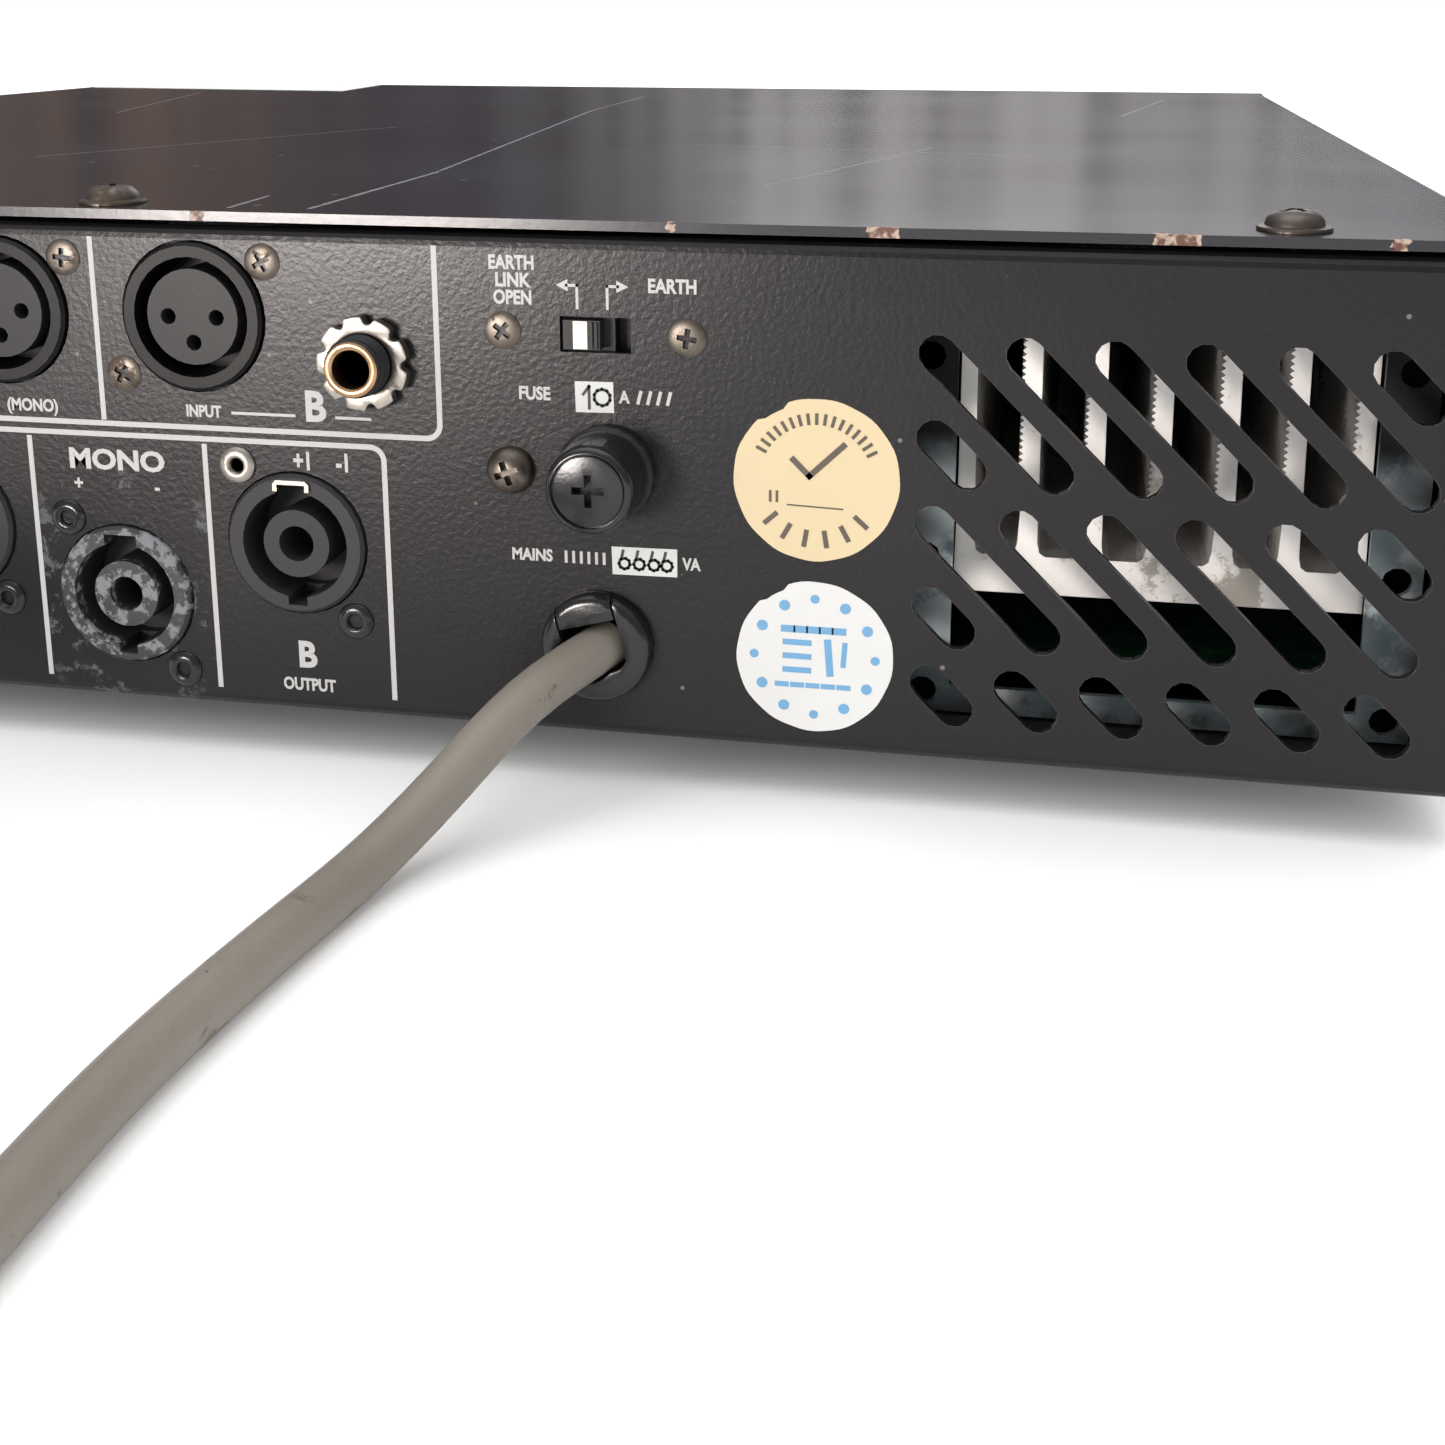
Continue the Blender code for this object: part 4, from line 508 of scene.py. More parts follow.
black_plastic = moulded("matt_black_plastic", (0.012, 0.012, 0.013), 0.40, 0.12, specular=0.32)
socket_plastic = moulded("socket_black_plastic", (0.020, 0.020, 0.022), 0.42, 0.25, specular=0.28)
xlr_plastic = moulded("input_black_plastic", (0.020, 0.020, 0.020), 0.36, 0.20, specular=0.20)
tree, shader = xlr_plastic.node_tree, xlr_plastic.node_tree.nodes["Principled BSDF"]
where = tree.nodes.new("ShaderNodeTexCoord").outputs["Object"]
rim = None
for letter in "ab":
    low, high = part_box("xlr_input_" + letter)
    spot = (low + high) / 2
    level = vector_maths("MULTIPLY", where, (1.0, 0.0, 1.0))
    away = vector_maths("DISTANCE", level, (spot.x, 0.0, spot.z), "Value")
    rim = away if rim is None else maths("MINIMUM", rim, away)
on_rim = ramp(rim, 8.2 * MM, 8.8 * MM)
face_shade = shader.inputs["Base Color"].links[0].from_socket
fill(shader.inputs["Base Color"], blend(on_rim, face_shade, (0.003, 0.003, 0.003)))
dusty_plastic = moulded("dusty_black_plastic", (0.020, 0.020, 0.022), 0.46, 0.9, dust_tint=(0.27, 0.28, 0.29),
                        dirt_size=0.0010, dirt=0.70, face_only=True)
gloss_plastic = moulded("gloss_black_nylon", (0.010, 0.010, 0.011), 0.14, 0.06)
rubber = moulded("black_rubber", (0.018, 0.018, 0.018), 0.68, 0.2, 0.0008, 0.00008, 0.3)
sleeve_blue = moulded("blue_shrink_sleeve", (0.012, 0.022, 0.10), 0.22, 0.1)
slider_cream = moulded("cream_plastic", (0.80, 0.72, 0.58), 0.35, 0.25, dust_tint=(0.25, 0.20, 0.15))
print("plastics", black_plastic.name, gloss_plastic.name, rubber.name)

# %% Metals


def metal(name, tint, stain_tint, roughness, stain=0.5, stretch=(1, 1, 1), size=0.004, depth=0.00002,
          grain_size=0.0004, painted_shade_above=None, painted_shade_depth=None):
    made, tree, shader, where = new_finish(name, metallic=1.0)
    grain = placed(grain_group, where, Size=grain_size)
    tarnish = placed(scuff_group, where, Stretch=stretch, Size=size, Amount=stain)[0]
    shade = blend(grain["Variation"], tint, tuple(0.75 * c for c in tint))
    shade = blend(tarnish, shade, stain_tint)
    # Painted shade: above the given height the plate's colour turns near black, for the shade over its upper part.
    if painted_shade_above:
        height = axis(where, 2)
        shade = blend(ramp(height, painted_shade_above - 6 * MM, painted_shade_above), shade, (0.02, 0.02, 0.022))
    # Painted shade: the brass turns near black deeper inside the jack's mouth, where shade falls in the hole.
    if painted_shade_depth:
        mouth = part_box("jack_input_a")[1].y
        depth_in = axis(where, 1)
        shade = blend(ramp(depth_in, mouth - 1.2 * MM, mouth - painted_shade_depth * MM), shade,
                      (0.006, 0.004, 0.003))
    fill(shader.inputs["Base Color"], shade)
    gloss = plus(times(grain["Height"], 0.14), roughness)
    fill(shader.inputs["Roughness"], plus(gloss, times(tarnish, 0.25)))
    fill(shader.inputs["Metallic"], minus(1.0, times(tarnish, 0.5)))
    bump(tree, shader, grain["Height"], depth, 0.6)
    return made


dark_steel = metal("tarnished_steel", (0.15, 0.13, 0.11), (0.07, 0.05, 0.035), 0.34, 0.65, size=0.0015)
nickel = metal("worn_nickel", (0.42, 0.39, 0.35), (0.16, 0.13, 0.11), 0.32, 0.55, size=0.0015)
# The brass darkens from 1.2 mm to 4 mm inside each jack mouth: painted shade in the hole.
brass = metal("warm_brass", (0.52, 0.32, 0.18), (0.20, 0.10, 0.05), 0.24, 0.40, size=0.002, painted_shade_depth=4.0)
aluminium = metal("sawn_aluminium", (0.97, 0.95, 0.92), (0.52, 0.49, 0.44), 0.50, 0.55, (1, 1, 1), 0.005, 0.00005)
zinc = metal("zinc_plate", (0.60, 0.64, 0.66), (0.28, 0.33, 0.36), 0.34, 0.85, (1, 1, 1), 0.012)
# The duct plate has tarnish, and painted shade that darkens it above 49 mm over the panel's foot.
duct_zinc = metal("dusty_duct_plate", (0.55, 0.60, 0.62), (0.22, 0.27, 0.29), 0.36, 0.85, (1, 1, 1), 0.012,
                  painted_shade_above=PANEL_FOOT + 49 * MM)
print("metals", dark_steel.name, nickel.name, brass.name, aluminium.name, zinc.name)

# %% [markdown]
# ## Print, paper and boards
# Silk-screened ink is a thin off-white film, rubbed away in places. The round labels are paper: one cream, one
# white. Circuit boards are green with a faint pattern of copper tracks under the lacquer.
# %% Ink and paper


def film(name, tint, worn_tint, roughness, wear=0.25, size=0.003, fade=0.8):
    made, tree, shader, where = new_finish(name, roughness)
    rubbed = placed(scuff_group, where, Size=size, Amount=wear)[0]
    grain = placed(grain_group, where, Size=0.0004)
    shade = blend(grain["Variation"], tint, tuple(0.88 * c for c in tint))
    fill(shader.inputs["Base Color"], blend(times(rubbed, fade), shade, worn_tint))
    bump(tree, shader, grain["Height"], 0.00002, 0.4)
    return made


print_white = film("white_print", (0.60, 0.59, 0.57), (0.14, 0.13, 0.13), 0.55, 0.30, 0.002, 0.6)
box_white = film("white_print_box", (0.74, 0.74, 0.71), (0.40, 0.38, 0.36), 0.5, 0.25)
pen_ink = film("pen_ink", (0.020, 0.018, 0.018), (0.10, 0.09, 0.08), 0.5)
paper_cream = film("cream_label", (0.78, 0.62, 0.37), (0.62, 0.49, 0.31), 0.45, 0.22, 0.004, 0.4)
paper_white = film("white_label", (0.80, 0.79, 0.77), (0.52, 0.50, 0.47), 0.45, 0.30, 0.003, 0.5)
ink_brown = film("brown_ink", (0.10, 0.075, 0.05), (0.55, 0.44, 0.30), 0.5, 0.15)
ink_blue = film("blue_ink", (0.16, 0.40, 0.66), (0.72, 0.73, 0.74), 0.5, 0.36, 0.002, 1.0)
paper_pale = film("pale_label", (0.80, 0.82, 0.82), (0.60, 0.61, 0.61), 0.6, 0.2)
print("print and paper", print_white.name, paper_cream.name, paper_white.name)

# %% Boards, tape and lead
board_green, tree, shader, where = new_finish("circuit_board", 0.35)
tracks = add(tree, "ShaderNodeTexVoronoi", {"feature": "DISTANCE_TO_EDGE"}, Vector=where, Scale=160.0).outputs[0]
track = ramp(tracks, 0.10, 0.04)
fill(shader.inputs["Base Color"], blend(track, (0.004, 0.030, 0.014), (0.010, 0.062, 0.028)))
bump(tree, shader, track, 0.00004)

tape_yellow, tree, shader, where = new_finish("winding_tape", 0.3)
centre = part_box("transformer")
hub = (centre[0] + centre[1]) / 2
from_hub = vector_maths("SUBTRACT", where, hub)
parts = add(tree, "ShaderNodeSeparateXYZ", Vector=from_hub).outputs
around = maths("ARCTAN2", parts[1], parts[0])
laps = maths("SINE", times(around, 46.0))
fill(shader.inputs["Base Color"], blend(ramp(laps, -0.6, 0.8), (0.30, 0.17, 0.03), (0.58, 0.38, 0.08)))
bump(tree, shader, laps, 0.0003, 0.6)

cord_grey, tree, shader, where = new_finish("grey_cable_sheath", Specular_IOR_Level=0.35)
grain = placed(grain_group, where, Size=0.0007)
film_dirt = placed(scuff_group, where, Size=0.006, Amount=0.60)[0]
stain = placed(scuff_group, where, Size=0.003, Amount=0.34)[0]
spots = placed(speck_group, where, Size=0.0024, Amount=0.16)[0]
shade = blend(grain["Variation"], (0.180, 0.158, 0.132), (0.262, 0.238, 0.204))
shade = blend(times(film_dirt, 0.6), shade, (0.125, 0.098, 0.070))
shade = blend(times(maths("MAXIMUM", stain, spots), 0.8), shade, (0.07, 0.04, 0.03))
fill(shader.inputs["Base Color"], shade)
fill(shader.inputs["Roughness"], plus(times(film_dirt, 0.2), 0.48))
bump(tree, shader, grain["Height"], 0.00012, 0.5)


def lens(name, dim, bright):
    made, tree, shader, where = new_finish(name, 0.12, Transmission_Weight=0.2)
    glow = ramp(noise(where, 900.0), 0.2, 0.9)
    fill(shader.inputs["Base Color"], blend(glow, dim, bright))
    return made


light_green = lens("green_lens", (0.02, 0.30, 0.08), (0.05, 0.45, 0.12))
light_red = lens("red_lens", (0.35, 0.02, 0.02), (0.50, 0.05, 0.03))
print("boards, tape and sheath ready")

# %% [markdown]
# ## Finishes on the CAD parts
# Each CAD part keeps its shape and swaps its plain colour for one of the finishes above.
# %% Give every CAD part its finish
BY_START = (
    ("top_cover", gloss_black), ("rear_panel", black_paint), ("front_panel", black_paint),
    ("base_plate", black_paint), ("side_plate", black_paint), ("foot_", rubber),
    ("cover_screw", dark_steel), ("earth_screw", dark_steel), ("xlr_input", xlr_plastic),
    ("speaker_socket", socket_plastic), ("bridge_socket", dusty_plastic), ("jack_input", black_plastic),
    ("jack_nut", nickel), ("ground_switch", black_plastic), ("fuse_holder", black_plastic),
    ("fuse_cap", gloss_plastic), ("fuse_cartridge", nickel), ("strain_relief", gloss_plastic),
    ("mains_cord", cord_grey), ("cord_coil", cord_grey), ("mains_plug", black_plastic),
    ("heat_sink", aluminium), ("duct_plate", duct_zinc), ("fan_", black_plastic), ("transistor", black_plastic),
    ("amplifier_board", board_green), ("supply_board", board_green), ("input_board", board_green),
    ("transformer_clamp", zinc), ("transformer", tape_yellow), ("capacitor", sleeve_blue),
    ("rectifier", black_plastic), ("gain_control", dark_steel), ("gain_knob", black_plastic),
    ("power_switch_frame", black_plastic), ("power_rocker", gloss_plastic),
)
for name, part in nodes.items():
    matched = [finish for start, finish in BY_START if name.startswith(start)]
    if not matched:
        raise SystemExit("no finish for " + name)
    for place in part.material_slots:
        place.material = matched[0]
print("finishes on", len(nodes), "CAD parts")

# %% [markdown]
# ## Printed lines and letters
# On the real panel the print is screened on in one pass. Each line is modelled as a very thin bar cut to its
# outline, and each word is a text object made into a mesh. All of it is joined into one piece of print. Only plain
# words and letters are used, and short bars stand for the small figures.
# %% Lines of the rear print
PRINT = 0.06 * MM
LINE = 0.85


def on_rear(points):
    """From millimetres across the panel and above its foot, to a plate that lies on the rear panel."""
    return [(-x * MM, z * MM) for x, z in points]


def printed(outline, depth=PRINT):
    return cut_out("print", on_rear(outline), depth, (0, REAR_Y, PANEL_FOOT), REAR_TURN)


def lettering(words, x, z, height, squeeze):
    """Words with their middle at x and their foot at z, as tall as height, in millimetres."""
    let_go()
    bpy.ops.object.text_add()
    text = bpy.context.object
    text.data.body = words
    text.data.align_x = "CENTER"
    text.data.size = height * MM / 0.73
    text.data.extrude = PRINT / 2
    text.data.offset = 0.048 * height * MM
    text.data.resolution_u = 3
    text.scale.x = squeeze
    bpy.ops.object.convert(target="MESH")
    made = bpy.context.object
    edit(made)
    bpy.ops.mesh.remove_doubles(threshold=0.00001)
    leave(outward=True)
    return put(made, (x * MM, REAR_Y + PRINT / 2, PANEL_FOOT + z * MM), REAR_TURN)


def printed_path(points, corner, width=LINE):
    """Bars from point to point, with a rounded corner between two of them."""
    made = []
    for i, (start, end) in enumerate(zip(points, points[1:])):
        start, end = Vector(start), Vector(end)
        ahead = (end - start).normalized()
        first = start + ahead * (corner if i else 0)
        last = end - ahead * (corner if i < len(points) - 2 else 0)
        made.append(printed(bar(first, last, width)))
    for before, at, after in zip(points, points[1:], points[2:]):
        at = Vector(at)
        inward = (Vector(before) - at).normalized() + (Vector(after) - at).normalized()
        centre = at + inward * corner
        toward = math.degrees(math.atan2(-inward.y, -inward.x))
        made.append(printed(band(centre, corner - width / 2, corner + width / 2, toward - 45, toward + 45, 6),
                            1.2 * PRINT))
    return made


marks = [printed(bar((0, 75.6), (0, 47.4), LINE))]
marks += printed_path([(-55.9, 75.6), (-55.9, 46.4), (55.9, 46.4), (55.9, 75.6)], 2.2)
marks += printed_path([(-46.6, 3.6), (-46.6, 44.6), (43.6, 44.6), (43.6, 3.6)], 2.2)
for x in (13.4, -16.8):
    marks.append(printed(bar((x, 43.4), (x, 3.6), LINE)))
for side in (1, -1):
    marks.append(printed(bar((side * 22.0, 49.0), (side * 32.2, 49.0), 0.45)))
    marks.append(printed(bar((side * 39.2, 49.0), (side * 44.6, 49.0), 0.45)))
print("printed lines", len(marks))

# %% Letters, arrows and bars of the rear print
WORDS = (
    ("INPUT", -17.1, 48.2, 1.9, 0.80), ("INPUT", 25.0, 48.2, 1.9, 0.80), ("B", -35.7, 48.4, 4.8, 0.95),
    ("A", 38.0, 48.4, 4.8, 0.95), ("(MONO)", 12.3, 47.9, 2.0, 0.85), ("MONO", -1.5, 38.9, 3.3, 1.15),
    ("+", 5.4, 35.3, 2.2, 0.9), ("-", -8.2, 35.3, 2.2, 0.9), ("+1", -33.2, 40.5, 2.9, 0.75),
    ("-1", -39.9, 40.5, 2.9, 0.75), ("+1", 27.2, 40.5, 2.9, 0.75), ("-1", 20.5, 40.5, 2.9, 0.75),
    ("B", -32.1, 7.8, 4.4, 0.95), ("A", 28.9, 7.8, 4.4, 0.95), ("OUTPUT", -32.2, 3.8, 2.05, 0.80),
    ("OUTPUT", 28.9, 3.8, 2.05, 0.80), ("EARTH", -67.9, 72.9, 2.1, 0.80), ("LINK", -68.0, 70.3, 2.1, 0.86),
    ("OPEN", -68.0, 67.7, 2.1, 0.80), ("EARTH", -92.3, 70.0, 2.1, 0.83), ("FUSE", -71.0, 53.3, 2.0, 0.85),
    ("A", -84.9, 53.3, 1.9, 0.85), ("MAINS", -70.0, 28.0, 1.9, 0.85), ("VA", -95.0, 27.9, 1.9, 0.80),
)
for words, x, z, height, squeeze in WORDS:
    marks.append(lettering(words, x, z, height, squeeze))
for side, x in ((1, -77.9), (-1, -82.5)):
    marks.append(printed(bar((x, 67.4), (x, 70.7), 0.42)))
    marks.append(printed(bar((x, 70.7), (x + side * 1.6, 70.7), 0.42)))
    tip = x + side * 3.2
    marks.append(printed([(tip, 70.7), (tip - side * 1.8, 71.6), (tip - side * 1.8, 69.8)]))
for x in (-87.0, -88.5, -90.0, -91.5):
    marks.append(printed(bar((x, 53.4), (x - 0.4, 55.0), 0.5)))
for x in (-75.4, -76.6, -77.8, -79.0, -80.2, -81.4):
    marks.append(printed(bar((x, 28.1), (x, 29.6), 0.45)))
rear_print = finished(joined("rear_print", marks), print_white)
print("rear print", len(rear_print.data.polygons), "faces")

# %% Boxes with figures by pen
boxes = [printed([(-77.4, 51.6), (-83.3, 51.7), (-83.2, 56.4), (-77.3, 56.3)]),
         printed([(-82.7, 26.5), (-92.8, 26.6), (-92.8, 31.0), (-82.6, 30.9)])]
finished(joined("figure_boxes", boxes), box_white)
strokes = []
PEN_WIDTH = 0.45
PEN_LIFT = 0.10 * MM


def stroke(points):
    """A pen stroke: short bars laid end to end."""
    for start, end in zip(points, points[1:]):
        strokes.append(printed(bar(start, end, PEN_WIDTH), PEN_LIFT))


stroke(((-78.6, 54.4), (-79.5, 55.6), (-79.5, 52.3)))
stroke(arc((-81.5, 54.0), 1.25, 90, 450, 10))
for x in (-84.6, -86.9, -89.2, -91.2):
    stroke(arc((x, 28.3), 0.85, 60, 400, 8))
    stroke(((x + 0.5, 29.0), (x + 0.2, 30.3)))
finished(joined("pen_figures", strokes), pen_ink)
print("boxes and pen strokes", len(strokes))

# %% [markdown]
# ## Round paper labels
# Two paper discs are stuck on the panel. Their edges are a little uneven, and each lacks a bit of its rim. The
# marks are plain: a ring of bars and a tick on the cream one, a ring of dots and a few bars on the white one.
# %% Cream label
LABEL = 0.12 * MM
LABEL_INK = 0.05 * MM
RIM_POINTS = 72


def paper_disc(name, x, z, radius, finish, waves):
    outline = []
    for i in range(RIM_POINTS):
        angle = 2 * math.pi * i / RIM_POINTS
        uneven = 1 + 0.006 * math.sin(waves * angle) + 0.004 * math.sin(13 * angle + waves)
        nibble = 0.05 if 112 < math.degrees(angle) < 132 else 0.0
        reach = radius * (uneven - nibble)
        outline.append((x - reach * math.cos(angle), z + reach * math.sin(angle)))
    label = printed(outline, LABEL)
    label.name = name
    finished(label, finish)


def on_label(outline):
    return printed(outline, LABEL + LABEL_INK)


def label_bar(middle, start, end, width):
    """A printed bar, measured from the middle of its label."""
    return on_label(bar((middle[0] + start[0], middle[1] + start[1]), (middle[0] + end[0], middle[1] + end[1]), width))


CREAM = (-113.8, 42.9)
paper_disc("label_cream", *CREAM, 12.35, paper_cream, 3)
brown = []
for first, last, count in ((28, 152, 17), (222, 318, 6)):
    for i in range(count):
        angle = math.radians(first + (last - first) * i / (count - 1))
        tall = 0.95 if count > 10 else 1.5
        near_end = (CREAM[0] - (9.6 - tall) * math.cos(angle), CREAM[1] + (9.6 - tall) * math.sin(angle))
        far_end = (CREAM[0] - (9.6 + tall * 0.3) * math.cos(angle), CREAM[1] + (9.6 + tall * 0.3) * math.sin(angle))
        brown.append(on_label(bar(near_end, far_end, 0.75 if count < 10 else 0.5)))
for start, end, width in (((3.4, 3.0), (1.0, 0.6), 0.9), ((1.0, 0.6), (-4.0, 5.4), 0.9),
                          ((4.2, -3.9), (-4.0, -4.2), 0.22), ((5.8, -3.4), (5.8, -2.0), 0.4),
                          ((6.8, -3.4), (6.8, -2.0), 0.4)):
    brown.append(label_bar(CREAM, start, end, width))
finished(joined("label_cream_marks", brown), ink_brown)
print("cream label", len(brown), "marks")

# %% White label
WHITE = (-113.9, 15.35)
paper_disc("label_white", *WHITE, 11.9, paper_white, 4)
blue = []
for i in range(12):
    angle = 2 * math.pi * i / 12
    dot = (WHITE[0] - 9.2 * math.cos(angle), WHITE[1] + 9.2 * math.sin(angle))
    blue.append(on_label(arc(dot, 0.85 if i % 3 else 0.7, 0, 330, 11)))
for z, half, width in ((4.3, 4.6, 1.1), (-4.6, 5.6, 0.8)):
    for share in range(5):
        left = WHITE[0] + half - share * half * 0.42
        blue.append(on_label(bar((left, WHITE[1] + z), (left - half * 0.24, WHITE[1] + z), width)))
for start, end, width in (((4.4, -2.2), (0.9, -2.2), 0.9), ((4.4, 0.0), (0.9, 0.0), 0.9),
                          ((4.4, 2.2), (0.9, 2.2), 0.9), ((-2.0, 2.4), (-2.4, -2.4), 1.1),
                          ((-4.6, 2.2), (-4.4, -1.0), 0.8)):
    blue.append(label_bar(WHITE, start, end, width))
finished(joined("label_white_marks", blue), ink_blue)
print("white label", len(blue), "marks")

# %% [markdown]
# ## Small screws and rivets
# Each socket is held by two small cross-head screws. A screw is turned from a disc, and its cross is carved with a
# plus-shaped tool. It is modelled once, and every further screw is a copy with its own mesh.
# %% Cross-head screws


def plus_outline(arm, half):
    outline = []
    for quarter in range(4):
        angle = quarter * math.pi / 2
        for across, up in ((half, half), (half, arm), (-half, arm)):
            outline.append((across * math.cos(angle) - up * math.sin(angle),
                            across * math.sin(angle) + up * math.cos(angle)))
    return outline


def cross_screw(name, radius, dome, arm, half, depth, sides=28):
    """A screw head at the origin, facing +Z, with its foot just below 0."""
    steps = [(radius, -0.3 * MM), (radius, dome * 0.25), (radius * 0.93, dome * 0.45), (radius * 0.72, dome * 0.78),
             (radius * 0.42, dome * 0.96), (radius * 0.1, dome)]
    head = turned(name, steps, sides)
    tool = cut_out("tool", plus_outline(arm, half), depth + MM, (0, 0, dome - depth))
    return carve(head, tool)


def copies(model, places, turn, spin=0.0):
    """A copy of a piece, with its own mesh, at each place; each is spun a little further round."""
    made = []
    for i, place in enumerate(places):
        piece = model.copy()
        piece.data = model.data.copy()
        bpy.context.collection.objects.link(piece)
        put(piece, (0, 0, 0), (0, 0, spin * (i + 1)))
        made.append(put(piece, place, turn))
    bpy.data.objects.remove(model, do_unlink=True)
    return made


def rear_place(x, z, out=0.0):
    return (x * MM, REAR_Y + out * MM, PANEL_FOOT + z * MM)


SCREW_PLACES = ((-28.4, 72.8), (-4.1, 54.6), (4.75, 72.65), (28.5, 54.6), (-66.3, 63.6), (-94.5, 63.4))
model = cross_screw("screw", 2.85 * MM, 0.55 * MM, 1.5 * MM, 0.42 * MM, 0.9 * MM)
heads = copies(model, [rear_place(x, z) for x, z in SCREW_PLACES], REAR_TURN, 0.5)
finished(smooth(joined("panel_screws", heads), 30), dark_steel)
print("panel screws", len(heads))

# %% Earth screw and cover screws
earth_low, earth_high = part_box("earth_screw")
earth_middle = (earth_low + earth_high) / 2
model = cross_screw("earth", (earth_high.x - earth_low.x) / 2, earth_high.y - REAR_Y, 1.9 * MM, 0.5 * MM, 1.5 * MM)
earth = copies(model, [(earth_middle.x, REAR_Y, earth_middle.z)], REAR_TURN, 0.35)[0]
earth.name = "earth_screw_head"
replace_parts(finished(smooth(earth, 35), dark_steel), "earth_screw")
for side in ("left", "middle", "right"):
    low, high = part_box("cover_screw_" + side)
    radius = (high.x - low.x) / 2
    rise = high.z - COVER_TOP
    steps = [(radius, 0.05 * MM), (radius, 0.35 * MM), (radius * 0.97, 0.6 * MM), (radius * 0.80, 0.8 * MM),
             (radius * 0.76, rise * 0.55), (radius * 0.58, rise * 0.86), (radius * 0.3, rise * 0.98),
             (radius * 0.08, rise)]
    head = turned("cover_screw_head_" + side, steps, 32)
    carve(head, cut_out("tool", plus_outline(1.9 * MM, 0.5 * MM), 3 * MM, (0, 0, rise - 1.3 * MM)))
    put(head, (0, 0, 0), (0, 0, 0.6))
    put(head, ((low.x + high.x) / 2, (low.y + high.y) / 2, COVER_TOP))
    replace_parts(finished(smooth(head, 35), dark_steel), "cover_screw_" + side)
print("earth screw and three cover screws")

# %% Hollow rivets beside the speaker sockets
steps = [(3.0 * MM, -0.2 * MM), (3.0 * MM, 0.15 * MM), (2.8 * MM, 0.4 * MM), (2.1 * MM, 0.75 * MM),
         (1.55 * MM, 0.8 * MM), (1.25 * MM, 0.6 * MM), (1.1 * MM, -0.1 * MM)]
SOCKETS = ((29.0, 28.4), (-1.5, 18.2), (-31.5, 28.4))
dark_places = [(x + 9.2 * s, z + 12.3 * s) for x, z in SOCKETS for s in (1, -1)]
bright_place = dark_places.pop(4)
rivets = copies(turned("rivet", steps, 24), [rear_place(x, z) for x, z in dark_places], REAR_TURN)
finished(smooth(joined("socket_rivets", rivets), 50), gloss_plastic)
worn = copies(turned("rivet", steps, 24), [rear_place(*bright_place, 0.1)], REAR_TURN)[0]
worn.name = "socket_rivet_worn"
finished(smooth(worn, 50), nickel)
print("rivets", len(rivets) + 1)

# %% [markdown]
# ## Jack nuts and brass faces
# A toothed round nut holds each jack, and the mouth of the barrel is brass. The nut is a plate cut to a scalloped
# outline with a hole carved in it. The brass mouth is turned like a short cup with its floor deep inside.
# %% Scalloped nuts
TEETH = 9
for letter in "ab":
    low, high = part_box("jack_nut_" + letter)
    barrel_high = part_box("jack_input_" + letter)[1]
    middle = (low + high) / 2
    reach = (high.x - low.x) / 2
    outline = []
    for i in range(TEETH * 16):
        angle = 2 * math.pi * i / (TEETH * 16)
        dip = max(0.0, math.cos(TEETH * angle) - 0.35) / 0.65
        outline.append(((reach - 1.15 * MM * dip ** 0.7) * math.cos(angle),
                        (reach - 1.15 * MM * dip ** 0.7) * math.sin(angle)))
    nut = cut_out("jack_scalloped_nut_" + letter, outline, high.y - low.y)
    tool = turned("tool", [(4.75 * MM, -2 * MM), (4.75 * MM, 6 * MM)], 32)
    carve(nut, tool)
    soften(nut, 0.25 * MM, 2, 35)
    put(nut, (middle.x, low.y, middle.z), REAR_TURN)
    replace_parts(finished(smooth(nut, 40), nickel), "jack_nut_" + letter)
    mouth = turned("jack_brass_mouth_" + letter, [
        (3.0 * MM, -9 * MM), (3.24 * MM, -9 * MM), (3.24 * MM, 0.02 * MM), (4.15 * MM, 0.02 * MM),
        (4.2 * MM, 0.12 * MM), (3.95 * MM, 0.30 * MM), (3.3 * MM, 0.28 * MM), (3.0 * MM, 0.05 * MM),
        (2.95 * MM, -8.8 * MM)], 40)
    put(mouth, (middle.x, barrel_high.y, middle.z), REAR_TURN)
    finished(smooth(mouth, 50), brass)
print("nuts and mouths", TEETH, "teeth")

# %% Threads on the jack barrels
for letter in "ab":
    low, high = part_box("jack_nut_" + letter)
    barrel_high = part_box("jack_input_" + letter)[1]
    middle = (low + high) / 2
    steps, height, inner, outer = [], high.y + 0.1 * MM, 4.52 * MM, 4.68 * MM
    steps.append((inner, height))
    while height < barrel_high.y - 1.1 * MM:
        steps += [(outer, height + 0.22 * MM), (inner, height + 0.44 * MM)]
        height += 0.44 * MM
    steps.append((4.45 * MM, height + 0.02 * MM))
    thread = turned("jack_thread_" + letter, [(r, h - REAR_Y) for r, h in steps], 40)
    tool = turned("tool", [(4.40 * MM, 0.0), (4.40 * MM, 30 * MM)], 40)
    carve(thread, tool)
    put(thread, (middle.x, REAR_Y, middle.z), REAR_TURN)
    finished(smooth(thread, 50), black_plastic)
print("threads", len(steps), "steps")

